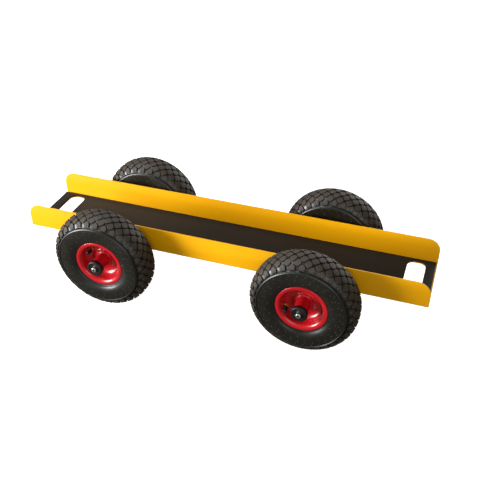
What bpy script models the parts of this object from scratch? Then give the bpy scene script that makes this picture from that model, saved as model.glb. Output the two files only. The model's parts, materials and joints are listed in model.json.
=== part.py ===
"""Beam trolley, built up from its separate parts.

A folded steel channel lined with a rubber mat carries the load. Two axles lie across
its underside in welded saddles, and each axle end carries a pneumatic wheel that turns
on a roller bearing.

The frame has +X along the channel, +Y across it and +Z up. The origin is on the ground
under the middle of the channel. A wheel is drawn in a frame of its own: its centre is
the origin, +Y points away from the channel and its valve is towards +X.
"""

import math

import bmesh
import bpy
from mathutils import Matrix

MM = 0.001

# Clearances
CONTACT_GAP = 0.3 * MM
RUNNING_GAP = 0.5 * MM
TUBE_GAP = 1.0 * MM

# Channel and mat
CHANNEL_LENGTH = 1030.0 * MM
CHANNEL_WIDTH = 178.0 * MM
FLANGE_HEIGHT = 67.0 * MM
SHEET = 3.0 * MM
BEND_RADIUS = 3.0 * MM
FLANGE_CORNER_RADIUS = 31.0 * MM
SLOT_WIDTH = 44.0 * MM
SLOT_RADIUS = 16.0 * MM
SLOT_FROM_END = 25.5 * MM
SLOT_FROM_FLANGE = 13.0 * MM
MAT_THICKNESS = 3.0 * MM
MAT_FROM_LEFT_END = 0.5 * MM
MAT_FROM_RIGHT_END = 3.0 * MM

# Wheels' places
WHEELBASE = 517.0 * MM
WHEELBASE_SHIFT = -14.5 * MM
TYRE_FROM_FLANGE = 10.5 * MM

# Axle, saddles and stop collars
AXLE_DIAMETER = 20.0 * MM
SADDLE_THICKNESS = 6.0 * MM
SADDLE_LENGTH = 54.0 * MM
SADDLE_UNDER_AXLE = 6.0 * MM
SADDLE_FROM_FLANGE = 26.0 * MM
COLLAR_LENGTH = 6.0 * MM
COLLAR_WALL = 5.0 * MM

# Tyre and inner tube
TYRE_DIAMETER = 260.0 * MM
TYRE_WIDTH = 81.0 * MM
TYRE_CROWN_WALL = 8.0 * MM
TYRE_SIDE_WALL = 5.5 * MM
TYRE_SQUARENESS = 2.6
TYRE_WIDEST_BELOW_MIDDLE = 4.0 * MM
TREAD_FLAT = 20.0 * MM
BEAD_WIDTH = 9.0 * MM
TUBE_WALL = 2.0 * MM

# Rim
BEAD_SEAT_RADIUS = 50.8 * MM
RIM_WIDTH = 65.4 * MM
RIM_SHEET = 2.5 * MM
RIM_LIP_HEIGHT = 11.2 * MM
RIM_LIP_BEND = 8.0 * MM
DISH_CORNER_RADIUS = 16.0 * MM

# Hub and bearing
HUB_LENGTH = 83.0 * MM
HUB_WALL = 3.7 * MM
ROLLER_DIAMETER = 3.2 * MM
ROLLER_COUNT = 8
CAGE_WALL = 2.0 * MM
CAGE_RING_LENGTH = 3.0 * MM
SEAL_LENGTH = 4.0 * MM

# Hub cap and its screw
CAP_DIAMETER = 40.0 * MM
CAP_THICKNESS = 11.1 * MM
CAP_EDGE = 2.5 * MM
CAP_RECESS_DEPTH = 0.8 * MM
SCREW_DIAMETER = 8.0 * MM
SCREW_LENGTH = 28.0 * MM
SCREW_HEAD_DIAMETER = 12.6 * MM
SCREW_HEAD_HEIGHT = 6.0 * MM
SCREW_HEAD_CHAMFER = 1.2 * MM
SCREW_SOCKET_DIAMETER = 5.6 * MM
SCREW_SOCKET_DEPTH = 2.5 * MM
TAP_RUN_OUT = 2.0 * MM

# Valve
VALVE_RADIUS = 38.5 * MM
VALVE_OFFSET = 11.0 * MM
VALVE_BEND = 4.5 * MM
VALVE_STEM_DIAMETER = 5.4 * MM
VALVE_REACH = 37.5 * MM
VALVE_CAP_DIAMETER = 9.0 * MM
VALVE_CAP_LENGTH = 17.0 * MM
VALVE_CAP_END_WALL = 1.5 * MM

# Facets round each kind of turned piece
TYRE_SIDES = 20
RIM_SIDES = 16
HUB_SIDES = 16
AXLE_SIDES = 16
CAGE_SIDES = 12
SMALL_SIDES = 12
ROLLER_SIDES = 6
BEND_STEPS = 4
CORNER_STEPS = 6
LIP_STEPS = 2
DISH_STEPS = 3
VALVE_BEND_STEPS = 3

# Angles at which the tyre's section has its corners, from its widest line up to the crown
TYRE_OUTSIDE_ANGLES = (-30, 0, 26, 48)
TYRE_INSIDE_ANGLES = (40, -5)

# Sizes that follow from the ones above
AXLE_RADIUS = AXLE_DIAMETER / 2
AXLE_HEIGHT = TYRE_DIAMETER / 2
CHANNEL_UNDERSIDE = AXLE_HEIGHT + AXLE_RADIUS + CONTACT_GAP
DECK_TOP = CHANNEL_UNDERSIDE + SHEET
FLANGE_TOP = CHANNEL_UNDERSIDE + FLANGE_HEIGHT
FLANGE_INNER_Y = CHANNEL_WIDTH / 2 - SHEET
SLOT_LENGTH = 2 * (FLANGE_INNER_Y - SLOT_FROM_FLANGE)
HALF_TRACK = CHANNEL_WIDTH / 2 + max(
    TYRE_FROM_FLANGE + TYRE_WIDTH / 2,
    COLLAR_LENGTH + 2 * RUNNING_GAP + HUB_LENGTH / 2,
)
RIM_LIP_RADIUS = BEAD_SEAT_RADIUS + RIM_LIP_HEIGHT
LIP_INNER_OFFSET = RIM_WIDTH / 2 - RIM_SHEET
BEAD_FACE = LIP_INNER_OFFSET - 2 * CONTACT_GAP
HUB_BORE_RADIUS = AXLE_RADIUS + ROLLER_DIAMETER + 2 * CONTACT_GAP
HUB_RADIUS = HUB_BORE_RADIUS + HUB_WALL
ROLLER_PITCH_RADIUS = (AXLE_RADIUS + HUB_BORE_RADIUS) / 2
CAGE_HALF_LENGTH = HUB_LENGTH / 2 - SEAL_LENGTH - 2 * RUNNING_GAP
AXLE_END_OFFSET = HUB_LENGTH / 2 + CONTACT_GAP
CAP_INNER_OFFSET = AXLE_END_OFFSET + CONTACT_GAP
CAP_OUTER_OFFSET = CAP_INNER_OFFSET + CAP_THICKNESS
SCREW_SEAT_OFFSET = CAP_OUTER_OFFSET - CAP_RECESS_DEPTH
TYRE_SECTION_RADIUS = (TYRE_DIAMETER / 2 + RIM_LIP_RADIUS) / 2 - TYRE_WIDEST_BELOW_MIDDLE

COLOURS = {
    "yellow_coat": ((0.86, 0.52, 0.01), 0.35, 0.0),
    "mat_rubber": ((0.035, 0.032, 0.028), 0.85, 0.0),
    "tyre_rubber": ((0.045, 0.042, 0.038), 0.7, 0.0),
    "tube_rubber": ((0.02, 0.02, 0.02), 0.6, 0.0),
    "red_coat": ((0.55, 0.01, 0.02), 0.25, 0.0),
    "bright_steel": ((0.62, 0.62, 0.60), 0.35, 1.0),
    "zinc_steel": ((0.78, 0.78, 0.76), 0.25, 1.0),
    "brass": ((0.62, 0.42, 0.16), 0.3, 1.0),
    "black_plastic": ((0.015, 0.015, 0.015), 0.3, 0.0),
    "seal_plastic": ((0.10, 0.10, 0.11), 0.5, 0.0),
}

# Each wheel's name, its side of the channel along X and Y, and its turn about the axle
WHEELS = (
    ("front_left", -1, -1, -54.0),
    ("front_right", 1, -1, 18.0),
    ("rear_left", -1, 1, 36.0),
    ("rear_right", 1, 1, 108.0),
)


def clear_scene():
    """Remove every object that the start-up file brings."""
    for old in list(bpy.data.objects):
        bpy.data.objects.remove(old)


def finish(name):
    """Return the named material, made the first time it is asked for."""
    material = bpy.data.materials.get(name)
    if material:
        return material
    colour, roughness, metallic = COLOURS[name]
    material = bpy.data.materials.new(name)
    material.use_nodes = True
    shader = material.node_tree.nodes["Principled BSDF"]
    shader.inputs["Base Color"].default_value = (*colour, 1.0)
    shader.inputs["Roughness"].default_value = roughness
    shader.inputs["Metallic"].default_value = metallic
    material.diffuse_color = (*colour, 1.0)
    return material


def bore(radius, sides):
    """Return the corner radius of a polygon whose flats are at radius."""
    return radius / math.cos(math.pi / sides)


def arc(centre, radius, start, end, steps):
    """Return points of an arc between two angles in degrees, both ends included."""
    points = []
    for step in range(steps + 1):
        angle = math.radians(start + (end - start) * step / steps)
        points.append((centre[0] + radius * math.cos(angle), centre[1] + radius * math.sin(angle)))
    return points


def mesh_from(bm, name):
    """Turn a bmesh into a smooth-shaded mesh that keeps its real edges sharp."""
    bmesh.ops.recalc_face_normals(bm, faces=bm.faces)
    mesh = bpy.data.meshes.new(name)
    bm.to_mesh(mesh)
    bm.free()
    mesh.shade_smooth()
    mesh.set_sharp_from_angle(angle=math.radians(40))
    return mesh


def place(mesh, name, material, parent=None):
    """Make an object of a mesh, give it its material and hang it on its parent."""
    part = bpy.data.objects.new(name, mesh)
    bpy.context.scene.collection.objects.link(part)
    part.parent = parent
    if not mesh.materials:
        mesh.materials.append(finish(material))
    return part


def cutter(mesh, name, parent=None):
    """Make an object that only cuts or joins, and is no part of the trolley."""
    tool = bpy.data.objects.new(name, mesh)
    bpy.context.scene.collection.objects.link(tool)
    tool.parent = parent
    tool.hide_render = True
    tool.display_type = "WIRE"
    return tool


def combine(part, tool, operation):
    """Give a part an exact Boolean with a tool."""
    modifier = part.modifiers.new(tool.name, "BOOLEAN")
    modifier.operation = operation
    modifier.solver = "EXACT"
    modifier.object = tool


def prism(outline, axis, low, high, name):
    """Extrude a closed outline along an axis, between two places on it."""
    order = {"X": (2, 0, 1), "Y": (0, 2, 1), "Z": (0, 1, 2)}[axis]
    bm = bmesh.new()
    corners = []
    for first, second in outline:
        source = (first, second, low)
        corners.append(bm.verts.new([source[index] for index in order]))
    face = bm.faces.new(corners)
    along = {"X": (high - low, 0, 0), "Y": (0, high - low, 0), "Z": (0, 0, high - low)}[axis]
    side = bmesh.ops.extrude_face_region(bm, geom=[face])["geom"]
    moved = [item for item in side if isinstance(item, bmesh.types.BMVert)]
    bmesh.ops.translate(bm, vec=along, verts=moved)
    return mesh_from(bm, name)


def spun(bm, profile, sides, closed):
    """Spin (radius, y) points about Y into a bmesh, with a flat facing -Z."""
    half_step = Matrix.Rotation(math.pi / sides, 4, "Y")
    corners = [bm.verts.new(half_step @ Matrix.Translation((radius, y, 0)).translation)
               for radius, y in profile]
    edges = [bm.edges.new(pair) for pair in zip(corners, corners[1:])]
    if closed:
        edges.append(bm.edges.new((corners[-1], corners[0])))
    bmesh.ops.spin(bm, geom=corners + edges, axis=(0, 1, 0), cent=(0, 0, 0),
                   angle=2 * math.pi, steps=sides, use_merge=True)


def turned(profile, sides, name, closed=True):
    """Make a turned piece: a ring, or a solid whose profile ends on the axis."""
    bm = bmesh.new()
    spun(bm, profile, sides, closed)
    bmesh.ops.remove_doubles(bm, verts=bm.verts, dist=0.001 * MM)
    return mesh_from(bm, name)


def ring_profile(inner, outer, low, high):
    """Return the section of a plain ring."""
    return [(inner, low), (outer, low), (outer, high), (inner, high)]


def rounded_rectangle(half_x, half_y, radius, centre_x):
    """Return the outline of a rectangle with four round corners."""
    outline = []
    corners = ((1, 1, 0), (-1, 1, 90), (-1, -1, 180), (1, -1, 270))
    for side_x, side_y, start in corners:
        centre = (centre_x + side_x * (half_x - radius), side_y * (half_y - radius))
        outline += arc(centre, radius, start, start + 90, CORNER_STEPS)
    return outline


# ---- Channel, mat and what holds the axles ----------------------------------------


def channel_section():
    """Return the folded sheet's section as (y, z) points, its flanges a little tall."""
    tall = FLANGE_TOP + SHEET
    half = CHANNEL_WIDTH / 2
    outer = BEND_RADIUS + SHEET
    bend_z = CHANNEL_UNDERSIDE + outer
    section = [(-half, tall)]
    section += arc((-half + outer, bend_z), outer, 180, 270, BEND_STEPS)
    section += arc((half - outer, bend_z), outer, 270, 360, BEND_STEPS)
    section += [(half, tall), (half - SHEET, tall)]
    section += arc((half - outer, bend_z), BEND_RADIUS, 360, 270, BEND_STEPS)
    section += arc((-half + outer, bend_z), BEND_RADIUS, 270, 180, BEND_STEPS)
    section.append((-half + SHEET, tall))
    return section


def channel_side_view():
    """Return the channel's side view as (x, z) points: its top corners are round."""
    half = CHANNEL_LENGTH / 2
    below = CHANNEL_UNDERSIDE - SHEET
    corner_z = FLANGE_TOP - FLANGE_CORNER_RADIUS
    outline = [(-half, below), (half, below)]
    outline += arc((half - FLANGE_CORNER_RADIUS, corner_z), FLANGE_CORNER_RADIUS, 0, 90, CORNER_STEPS)
    outline += arc((-half + FLANGE_CORNER_RADIUS, corner_z), FLANGE_CORNER_RADIUS, 90, 180, CORNER_STEPS)
    return outline


def slot_cutters():
    """Make the two tools that cut the hand slots through the deck and the mat."""
    centre = CHANNEL_LENGTH / 2 - SLOT_FROM_END - SLOT_WIDTH / 2
    tools = []
    for name, centre_x in (("slot_left", -centre), ("slot_right", centre)):
        outline = rounded_rectangle(SLOT_WIDTH / 2, SLOT_LENGTH / 2, SLOT_RADIUS, centre_x)
        low = CHANNEL_UNDERSIDE - SHEET
        high = DECK_TOP + MAT_THICKNESS + SHEET
        tools.append(cutter(prism(outline, "Z", low, high, name), name))
    return tools


def build_channel(slots):
    """Make the folded channel, trimmed to its side view and cut by the hand slots."""
    overshoot = CHANNEL_LENGTH / 2 + SHEET
    sheet = prism(channel_section(), "X", -overshoot, overshoot, "channel")
    channel = place(sheet, "channel", "yellow_coat")
    beyond = CHANNEL_WIDTH / 2 + SHEET
    side_view = prism(channel_side_view(), "Y", -beyond, beyond, "channel_trim")
    combine(channel, cutter(side_view, "channel_trim"), "INTERSECT")
    for slot in slots:
        combine(channel, slot, "DIFFERENCE")


def build_mat(slots):
    """Make the rubber mat that lies on the deck between the two folds."""
    half_y = FLANGE_INNER_Y - BEND_RADIUS
    low_x = -CHANNEL_LENGTH / 2 + MAT_FROM_LEFT_END
    high_x = CHANNEL_LENGTH / 2 - MAT_FROM_RIGHT_END
    outline = [(low_x, -half_y), (high_x, -half_y), (high_x, half_y), (low_x, half_y)]
    low = DECK_TOP + CONTACT_GAP
    mat = place(prism(outline, "Z", low, low + MAT_THICKNESS, "mat"), "mat", "mat_rubber")
    for slot in slots:
        combine(mat, slot, "DIFFERENCE")


def saddle_outline():
    """Return a saddle plate's outline as (x, z) points, with its notch for the axle."""
    half = SADDLE_LENGTH / 2
    top = AXLE_RADIUS
    bottom = -AXLE_RADIUS - SADDLE_UNDER_AXLE
    shoulder = AXLE_RADIUS + SADDLE_UNDER_AXLE
    notch_sides = 2 * CORNER_STEPS
    notch = bore(AXLE_RADIUS + CONTACT_GAP, notch_sides)
    outline = [(-half, top), (-half, top - SADDLE_UNDER_AXLE), (-shoulder, bottom)]
    outline += [(shoulder, bottom), (half, top - SADDLE_UNDER_AXLE), (half, top), (notch, top)]
    outline += arc((0, 0), notch, 0, -180, CORNER_STEPS)
    outline.append((-notch, top))
    return outline


def build_axle(side, axle_x):
    """Make one axle, with a tapped hole in each end, and its two saddles."""
    end = HALF_TRACK + AXLE_END_OFFSET
    tap = bore(SCREW_DIAMETER / 2 + CONTACT_GAP, AXLE_SIDES)
    tap_end = HALF_TRACK + SCREW_SEAT_OFFSET - SCREW_LENGTH - TAP_RUN_OUT
    profile = [(0, -tap_end), (tap, -tap_end), (tap, -end), (AXLE_RADIUS, -end)]
    profile += [(AXLE_RADIUS, end), (tap, end), (tap, tap_end), (0, tap_end)]
    shape = turned(profile, AXLE_SIDES, "axle_" + side, closed=False)
    axle = place(shape, "axle_" + side, "bright_steel")
    axle.location = (axle_x, 0, AXLE_HEIGHT)
    for end_name, direction in (("front", -1), ("rear", 1)):
        name = "axle_saddle_" + end_name + "_" + side
        half = SADDLE_THICKNESS / 2
        plate = place(prism(saddle_outline(), "Y", -half, half, name), name, "yellow_coat")
        plate.location = (axle_x, direction * (FLANGE_INNER_Y - SADDLE_FROM_FLANGE), AXLE_HEIGHT)


# ---- Tyre, tube and rim -------------------------------------------------------------


def flipped(points):
    """Return (radius, y) points on the other side of the centre plane, in reverse."""
    return [(radius, -y) for radius, y in reversed(points)]


def section_point(angle, half_width, crown_radius):
    """Return a point of the tyre's squared-off oval at an angle in degrees."""
    radians = math.radians(angle)
    power = 2 / TYRE_SQUARENESS
    rise = math.copysign(abs(math.sin(radians)) ** power, angle)
    radius = TYRE_SECTION_RADIUS + (crown_radius - TYRE_SECTION_RADIUS) * rise
    return radius, half_width * math.cos(radians) ** power


def tyre_profile():
    """Return the tyre's section: a shell that is open between its two beads."""
    bead = bore(BEAD_SEAT_RADIUS + CONTACT_GAP, TYRE_SIDES)
    lip = bore(RIM_LIP_RADIUS + CONTACT_GAP, TYRE_SIDES)
    crown = bore(TYRE_DIAMETER / 2, TYRE_SIDES)
    inner_crown = crown - TYRE_CROWN_WALL
    inner_width = TYRE_WIDTH / 2 - TYRE_SIDE_WALL
    outside = [(bead, BEAD_FACE - BEAD_WIDTH), (bead, BEAD_FACE - RIM_LIP_BEND)]
    outside += [(bead + RIM_LIP_BEND, BEAD_FACE), (lip, BEAD_FACE)]
    outside += [section_point(angle, TYRE_WIDTH / 2, crown) for angle in TYRE_OUTSIDE_ANGLES]
    outside.append((crown, TREAD_FLAT / 2))
    inside = [(inner_crown, TREAD_FLAT / 2)]
    inside += [section_point(angle, inner_width, inner_crown) for angle in TYRE_INSIDE_ANGLES]
    inside.append((lip, BEAD_FACE - BEAD_WIDTH))
    return outside + flipped(outside) + flipped(inside) + inside


def tube_profile(inset):
    """Return the inner tube's section, or its air space's where inset is the wall."""
    crown = bore(TYRE_DIAMETER / 2, TYRE_SIDES) - TYRE_CROWN_WALL - TUBE_GAP - inset
    width = TYRE_WIDTH / 2 - TYRE_SIDE_WALL - TUBE_GAP - inset
    throat = BEAD_FACE - BEAD_WIDTH - TUBE_GAP - inset
    base = bore(BEAD_SEAT_RADIUS + TUBE_GAP + inset, TYRE_SIDES)
    half = [(base, throat), (bore(RIM_LIP_RADIUS, TYRE_SIDES) + inset, throat)]
    half += [section_point(angle, width, crown) for angle in reversed(TYRE_INSIDE_ANGLES)]
    half.append((crown, TREAD_FLAT / 2))
    return half + flipped(half)


def rim_profile():
    """Return the section of one pressed rim half: disc, dish corner, bead seat, lip."""
    back = CONTACT_GAP / 2
    face = back + RIM_SHEET
    hole = bore(HUB_RADIUS + CONTACT_GAP, RIM_SIDES)
    dish = (BEAD_SEAT_RADIUS - RIM_SHEET - DISH_CORNER_RADIUS, face + DISH_CORNER_RADIUS)
    roll = (BEAD_SEAT_RADIUS + RIM_LIP_BEND, LIP_INNER_OFFSET - RIM_LIP_BEND)
    section = [(hole, face)]
    section += arc(dish, DISH_CORNER_RADIUS, -90, 0, DISH_STEPS)
    section += arc(roll, RIM_LIP_BEND + RIM_SHEET, 180, 90, LIP_STEPS)
    section += [(RIM_LIP_RADIUS, RIM_WIDTH / 2), (RIM_LIP_RADIUS, LIP_INNER_OFFSET)]
    section += arc(roll, RIM_LIP_BEND, 90, 180, LIP_STEPS)
    section += arc(dish, DISH_CORNER_RADIUS + RIM_SHEET, 0, -90, DISH_STEPS)
    section.append((hole, back))
    return section


# ---- Hub, bearing, cap and valve ------------------------------------------------------


def cage_profile():
    """Return the section of the cage's outboard end ring."""
    inner = bore(ROLLER_PITCH_RADIUS - CAGE_WALL / 2, CAGE_SIDES)
    outer = ROLLER_PITCH_RADIUS + CAGE_WALL / 2
    return ring_profile(inner, outer, CAGE_HALF_LENGTH - CAGE_RING_LENGTH, CAGE_HALF_LENGTH)


def cage_rings():
    """Make the two end rings of the roller cage as one mesh."""
    bm = bmesh.new()
    spun(bm, cage_profile(), CAGE_SIDES, closed=True)
    spun(bm, flipped(cage_profile()), CAGE_SIDES, closed=True)
    bmesh.ops.remove_doubles(bm, verts=bm.verts, dist=0.001 * MM)
    return mesh_from(bm, "roller_cage")


def rollers():
    """Make the rollers, which run into the cage's end rings."""
    bm = bmesh.new()
    upright = Matrix.Rotation(math.radians(90), 4, "X")
    for index in range(ROLLER_COUNT):
        turn = Matrix.Rotation(2 * math.pi * index / ROLLER_COUNT, 4, "Y")
        matrix = turn @ Matrix.Translation((ROLLER_PITCH_RADIUS, 0, 0)) @ upright
        bmesh.ops.create_cone(bm, cap_ends=True, segments=ROLLER_SIDES,
                              radius1=ROLLER_DIAMETER / 2, radius2=ROLLER_DIAMETER / 2,
                              depth=2 * CAGE_HALF_LENGTH - CAGE_RING_LENGTH, matrix=matrix)
    return mesh_from(bm, "rollers")


def cap_profile():
    """Return the section of the hub cap, with a recess round its screw."""
    hole = bore(SCREW_DIAMETER / 2 + CONTACT_GAP, HUB_SIDES)
    outer = CAP_DIAMETER / 2
    recess = bore(SCREW_HEAD_DIAMETER / 2 + 2 * RUNNING_GAP, HUB_SIDES)
    section = [(hole, CAP_INNER_OFFSET), (outer, CAP_INNER_OFFSET)]
    section += [(outer, CAP_OUTER_OFFSET - CAP_EDGE), (outer - CAP_EDGE, CAP_OUTER_OFFSET)]
    section += [(recess, CAP_OUTER_OFFSET), (recess, SCREW_SEAT_OFFSET), (hole, SCREW_SEAT_OFFSET)]
    return section


def screw_profile():
    """Return the section of the cap's screw, from its tip to its head's socket."""
    shank = SCREW_DIAMETER / 2
    head = SCREW_HEAD_DIAMETER / 2
    socket = SCREW_SOCKET_DIAMETER / 2
    seat = SCREW_SEAT_OFFSET + CONTACT_GAP
    top = seat + SCREW_HEAD_HEIGHT
    section = [(0, seat - SCREW_LENGTH), (shank, seat - SCREW_LENGTH), (shank, seat), (head, seat)]
    section += [(head, top - SCREW_HEAD_CHAMFER), (head - SCREW_HEAD_CHAMFER, top), (socket, top)]
    section += [(socket, top - SCREW_SOCKET_DEPTH), (0, top - SCREW_SOCKET_DEPTH)]
    return section


def valve_stem_curve():
    """Return the valve stem's curve: in through the rim, then bent to point outboard."""
    bend = (VALVE_RADIUS + VALVE_BEND, VALVE_OFFSET + VALVE_BEND)
    inside_tube = bore(BEAD_SEAT_RADIUS + TUBE_GAP + TUBE_WALL, TYRE_SIDES) + TUBE_WALL
    route = [(inside_tube, VALVE_OFFSET)] + arc(bend, VALVE_BEND, 270, 180, VALVE_BEND_STEPS)
    route.append((VALVE_RADIUS, VALVE_REACH))
    curve = bpy.data.curves.new("valve_stem", "CURVE")
    curve.dimensions = "3D"
    curve.bevel_depth = VALVE_STEM_DIAMETER / 2
    curve.bevel_resolution = 2
    curve.use_fill_caps = True
    spline = curve.splines.new("POLY")
    spline.points.add(len(route) - 1)
    for point, (radius, y) in zip(spline.points, route):
        point.co = (radius, y, 0, 1)
    return curve


def valve_cap_profile():
    """Return the section of the valve's screwed cap, a cup over the stem's end."""
    outer = VALVE_CAP_DIAMETER / 2
    inner = bore(VALVE_STEM_DIAMETER / 2 + CONTACT_GAP, SMALL_SIDES)
    floor = VALVE_REACH + CONTACT_GAP
    top = floor + VALVE_CAP_END_WALL
    mouth = top - VALVE_CAP_LENGTH
    section = [(0, floor), (inner, floor), (inner, mouth), (outer, mouth)]
    section += [(outer, top - VALVE_CAP_END_WALL), (outer - VALVE_CAP_END_WALL, top), (0, top)]
    return section


def valve_hole(radius, low, high, name):
    """Make the tool that cuts the valve's hole between two distances from the axle."""
    corner = bore(radius, SMALL_SIDES)
    step = 360 / SMALL_SIDES
    outline = arc((VALVE_OFFSET, 0), corner, 0, 360 - step, SMALL_SIDES - 1)
    return prism(outline, "X", low, high, name)


# ---- Wheels ---------------------------------------------------------------------------


def wheel_shapes():
    """Make every mesh of a wheel once; the four wheels share them."""
    hub_half = HUB_LENGTH / 2
    hub_ring = ring_profile(bore(HUB_BORE_RADIUS, HUB_SIDES), HUB_RADIUS, -hub_half, hub_half)
    seal_inner_radius = bore(AXLE_RADIUS + RUNNING_GAP, HUB_SIDES)
    seal_ring = ring_profile(seal_inner_radius, HUB_BORE_RADIUS - CONTACT_GAP,
                             hub_half - SEAL_LENGTH, hub_half)
    collar_high = -hub_half - RUNNING_GAP
    collar_ring = ring_profile(bore(AXLE_RADIUS + CONTACT_GAP, AXLE_SIDES), AXLE_RADIUS + COLLAR_WALL,
                               collar_high - COLLAR_LENGTH, collar_high)
    return {
        "tyre": turned(tyre_profile(), TYRE_SIDES, "tyre"),
        "inner_tube": turned(tube_profile(0), TYRE_SIDES, "inner_tube"),
        "air_space": turned(tube_profile(TUBE_WALL), TYRE_SIDES, "air_space"),
        "rim_outer": turned(rim_profile(), RIM_SIDES, "rim_outer"),
        "rim_inner": turned(flipped(rim_profile()), RIM_SIDES, "rim_inner"),
        "hub_tube": turned(hub_ring, HUB_SIDES, "hub_tube"),
        "seal_outer": turned(seal_ring, HUB_SIDES, "seal_outer"),
        "seal_inner": turned(flipped(seal_ring), HUB_SIDES, "seal_inner"),
        "stop_collar": turned(collar_ring, AXLE_SIDES, "stop_collar"),
        "hub_cap": turned(cap_profile(), HUB_SIDES, "hub_cap"),
        "cap_screw": turned(screw_profile(), SMALL_SIDES, "cap_screw", closed=False),
        "valve_stem": valve_stem_curve(),
        "valve_cap": turned(valve_cap_profile(), SMALL_SIDES, "valve_cap", closed=False),
        "roller_cage": cage_rings(),
        "rollers": rollers(),
        "tube_hole": valve_hole(VALVE_STEM_DIAMETER / 2 + CONTACT_GAP, BEAD_SEAT_RADIUS,
                                RIM_LIP_RADIUS, "tube_hole"),
        "rim_hole": valve_hole(VALVE_STEM_DIAMETER / 2 + 2 * RUNNING_GAP, HUB_RADIUS + DISH_CORNER_RADIUS,
                               BEAD_SEAT_RADIUS + RIM_SHEET, "rim_hole"),
    }


FINISHES = {
    "tyre": "tyre_rubber",
    "inner_tube": "tube_rubber",
    "rim_outer": "red_coat",
    "rim_inner": "red_coat",
    "hub_tube": "red_coat",
    "seal_outer": "seal_plastic",
    "seal_inner": "seal_plastic",
    "stop_collar": "bright_steel",
    "hub_cap": "black_plastic",
    "cap_screw": "zinc_steel",
    "valve_stem": "brass",
    "valve_cap": "black_plastic",
    "roller_cage": "bright_steel",
}


def wheel_centre(name, side_x, side_y, turn):
    """Make the empty at a wheel's centre, on its axle's axis, its +Y away from the channel."""
    centre = bpy.data.objects.new("wheel_" + name, None)
    bpy.context.scene.collection.objects.link(centre)
    axle_x = WHEELBASE_SHIFT + side_x * WHEELBASE / 2
    facing = Matrix.Rotation(math.pi if side_y < 0 else 0, 4, "Z")
    turned_by = Matrix.Rotation(math.radians(turn), 4, "Y")
    move = Matrix.Translation((axle_x, side_y * HALF_TRACK, AXLE_HEIGHT))
    centre.matrix_world = move @ facing @ turned_by
    return centre


def build_wheel(name, centre, shapes):
    """Make one wheel's parts round its centre."""
    parts = {}
    for piece, material in FINISHES.items():
        parts[piece] = place(shapes[piece], piece + "_" + name, material, centre)
    parts["valve_cap"].location = (VALVE_RADIUS, 0, 0)
    for piece, tool, operation in (
        ("inner_tube", "air_space", "DIFFERENCE"),
        ("inner_tube", "tube_hole", "DIFFERENCE"),
        ("rim_outer", "rim_hole", "DIFFERENCE"),
        ("roller_cage", "rollers", "UNION"),
    ):
        combine(parts[piece], cutter(shapes[tool], tool + "_" + name, centre), operation)


def build_trolley():
    """Build the whole trolley."""
    clear_scene()
    slots = slot_cutters()
    build_channel(slots)
    build_mat(slots)
    for side, side_x in (("left", -1), ("right", 1)):
        build_axle(side, WHEELBASE_SHIFT + side_x * WHEELBASE / 2)
    shapes = wheel_shapes()
    for name, side_x, side_y, turn in WHEELS:
        build_wheel(name, wheel_centre(name, side_x, side_y, turn), shapes)


build_trolley()
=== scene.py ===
import json
import logging
import math
from collections.abc import Sequence
from dataclasses import dataclass, field
from enum import Enum

import bmesh
import bpy
from bmesh.types import BMEdge, BMesh, BMFace, BMVert
from mathutils import Matrix, Vector


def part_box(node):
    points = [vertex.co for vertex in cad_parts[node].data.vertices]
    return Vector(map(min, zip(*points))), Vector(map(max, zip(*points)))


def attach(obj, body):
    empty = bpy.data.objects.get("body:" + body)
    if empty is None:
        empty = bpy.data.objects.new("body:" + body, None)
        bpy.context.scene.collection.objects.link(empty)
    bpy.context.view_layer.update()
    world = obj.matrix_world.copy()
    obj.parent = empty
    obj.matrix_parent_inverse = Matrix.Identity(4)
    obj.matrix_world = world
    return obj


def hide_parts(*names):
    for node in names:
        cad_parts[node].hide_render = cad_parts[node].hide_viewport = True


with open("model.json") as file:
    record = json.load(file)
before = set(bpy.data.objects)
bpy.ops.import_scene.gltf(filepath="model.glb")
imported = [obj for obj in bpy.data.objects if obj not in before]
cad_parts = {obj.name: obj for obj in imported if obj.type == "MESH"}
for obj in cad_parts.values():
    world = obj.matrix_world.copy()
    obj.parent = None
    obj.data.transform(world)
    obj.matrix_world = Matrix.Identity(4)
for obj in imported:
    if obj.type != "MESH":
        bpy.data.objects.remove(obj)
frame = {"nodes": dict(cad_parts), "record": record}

LOG = logging.getLogger("beam_trolley")
MM = 0.001
# Points closer than MERGE are joined, CUT is a slice's tolerance, and NEAR finds a line's points
MERGE = 0.002 * MM
CUT = 0.001 * MM
NEAR = 0.01 * MM
# Plates' edges that are sharper than this many degrees are rounded
PLATE_CORNER = 60.0
# How far each wheel is turned at rest, in degrees, which places its valve
WHEEL_TURNS = {"front_left": -54.0, "front_right": 18.0, "rear_left": 36.0, "rear_right": 108.0}
CHASSIS = "chassis"
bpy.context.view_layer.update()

Point = tuple[float, float]


# ---- Shape helpers ------------------------------------------------------------------


class Shading(Enum):
    """How a finished mesh is shaded: the widest angle in degrees that stays smooth."""

    ROUND = 60.0
    PLATE = 35.0
    BLOCKS = 28.0


def arc(centre: Point, radius: float, start: float, end: float, steps: int) -> list[Point]:
    """Work out the points of an arc.

    Args:
        centre: The arc's centre.
        radius: Its radius.
        start: Its first angle, in degrees.
        end: Its last angle, in degrees.
        steps: The number of steps between the two.

    Returns:
        The points, both ends included.
    """
    angles = [math.radians(start + (end - start) * step / steps) for step in range(steps + 1)]
    return [(centre[0] + radius * math.cos(a), centre[1] + radius * math.sin(a)) for a in angles]


def flipped(points: Sequence[Point]) -> list[Point]:
    """Return (radius, y) points on the other side of the centre plane, in reverse."""
    return [(radius, -y) for radius, y in reversed(points)]


def everything(bm: BMesh) -> list[BMVert | BMEdge | BMFace]:
    """Return all of a bmesh's geometry, as its operators take it."""
    return [*bm.verts, *bm.edges, *bm.faces]


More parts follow.
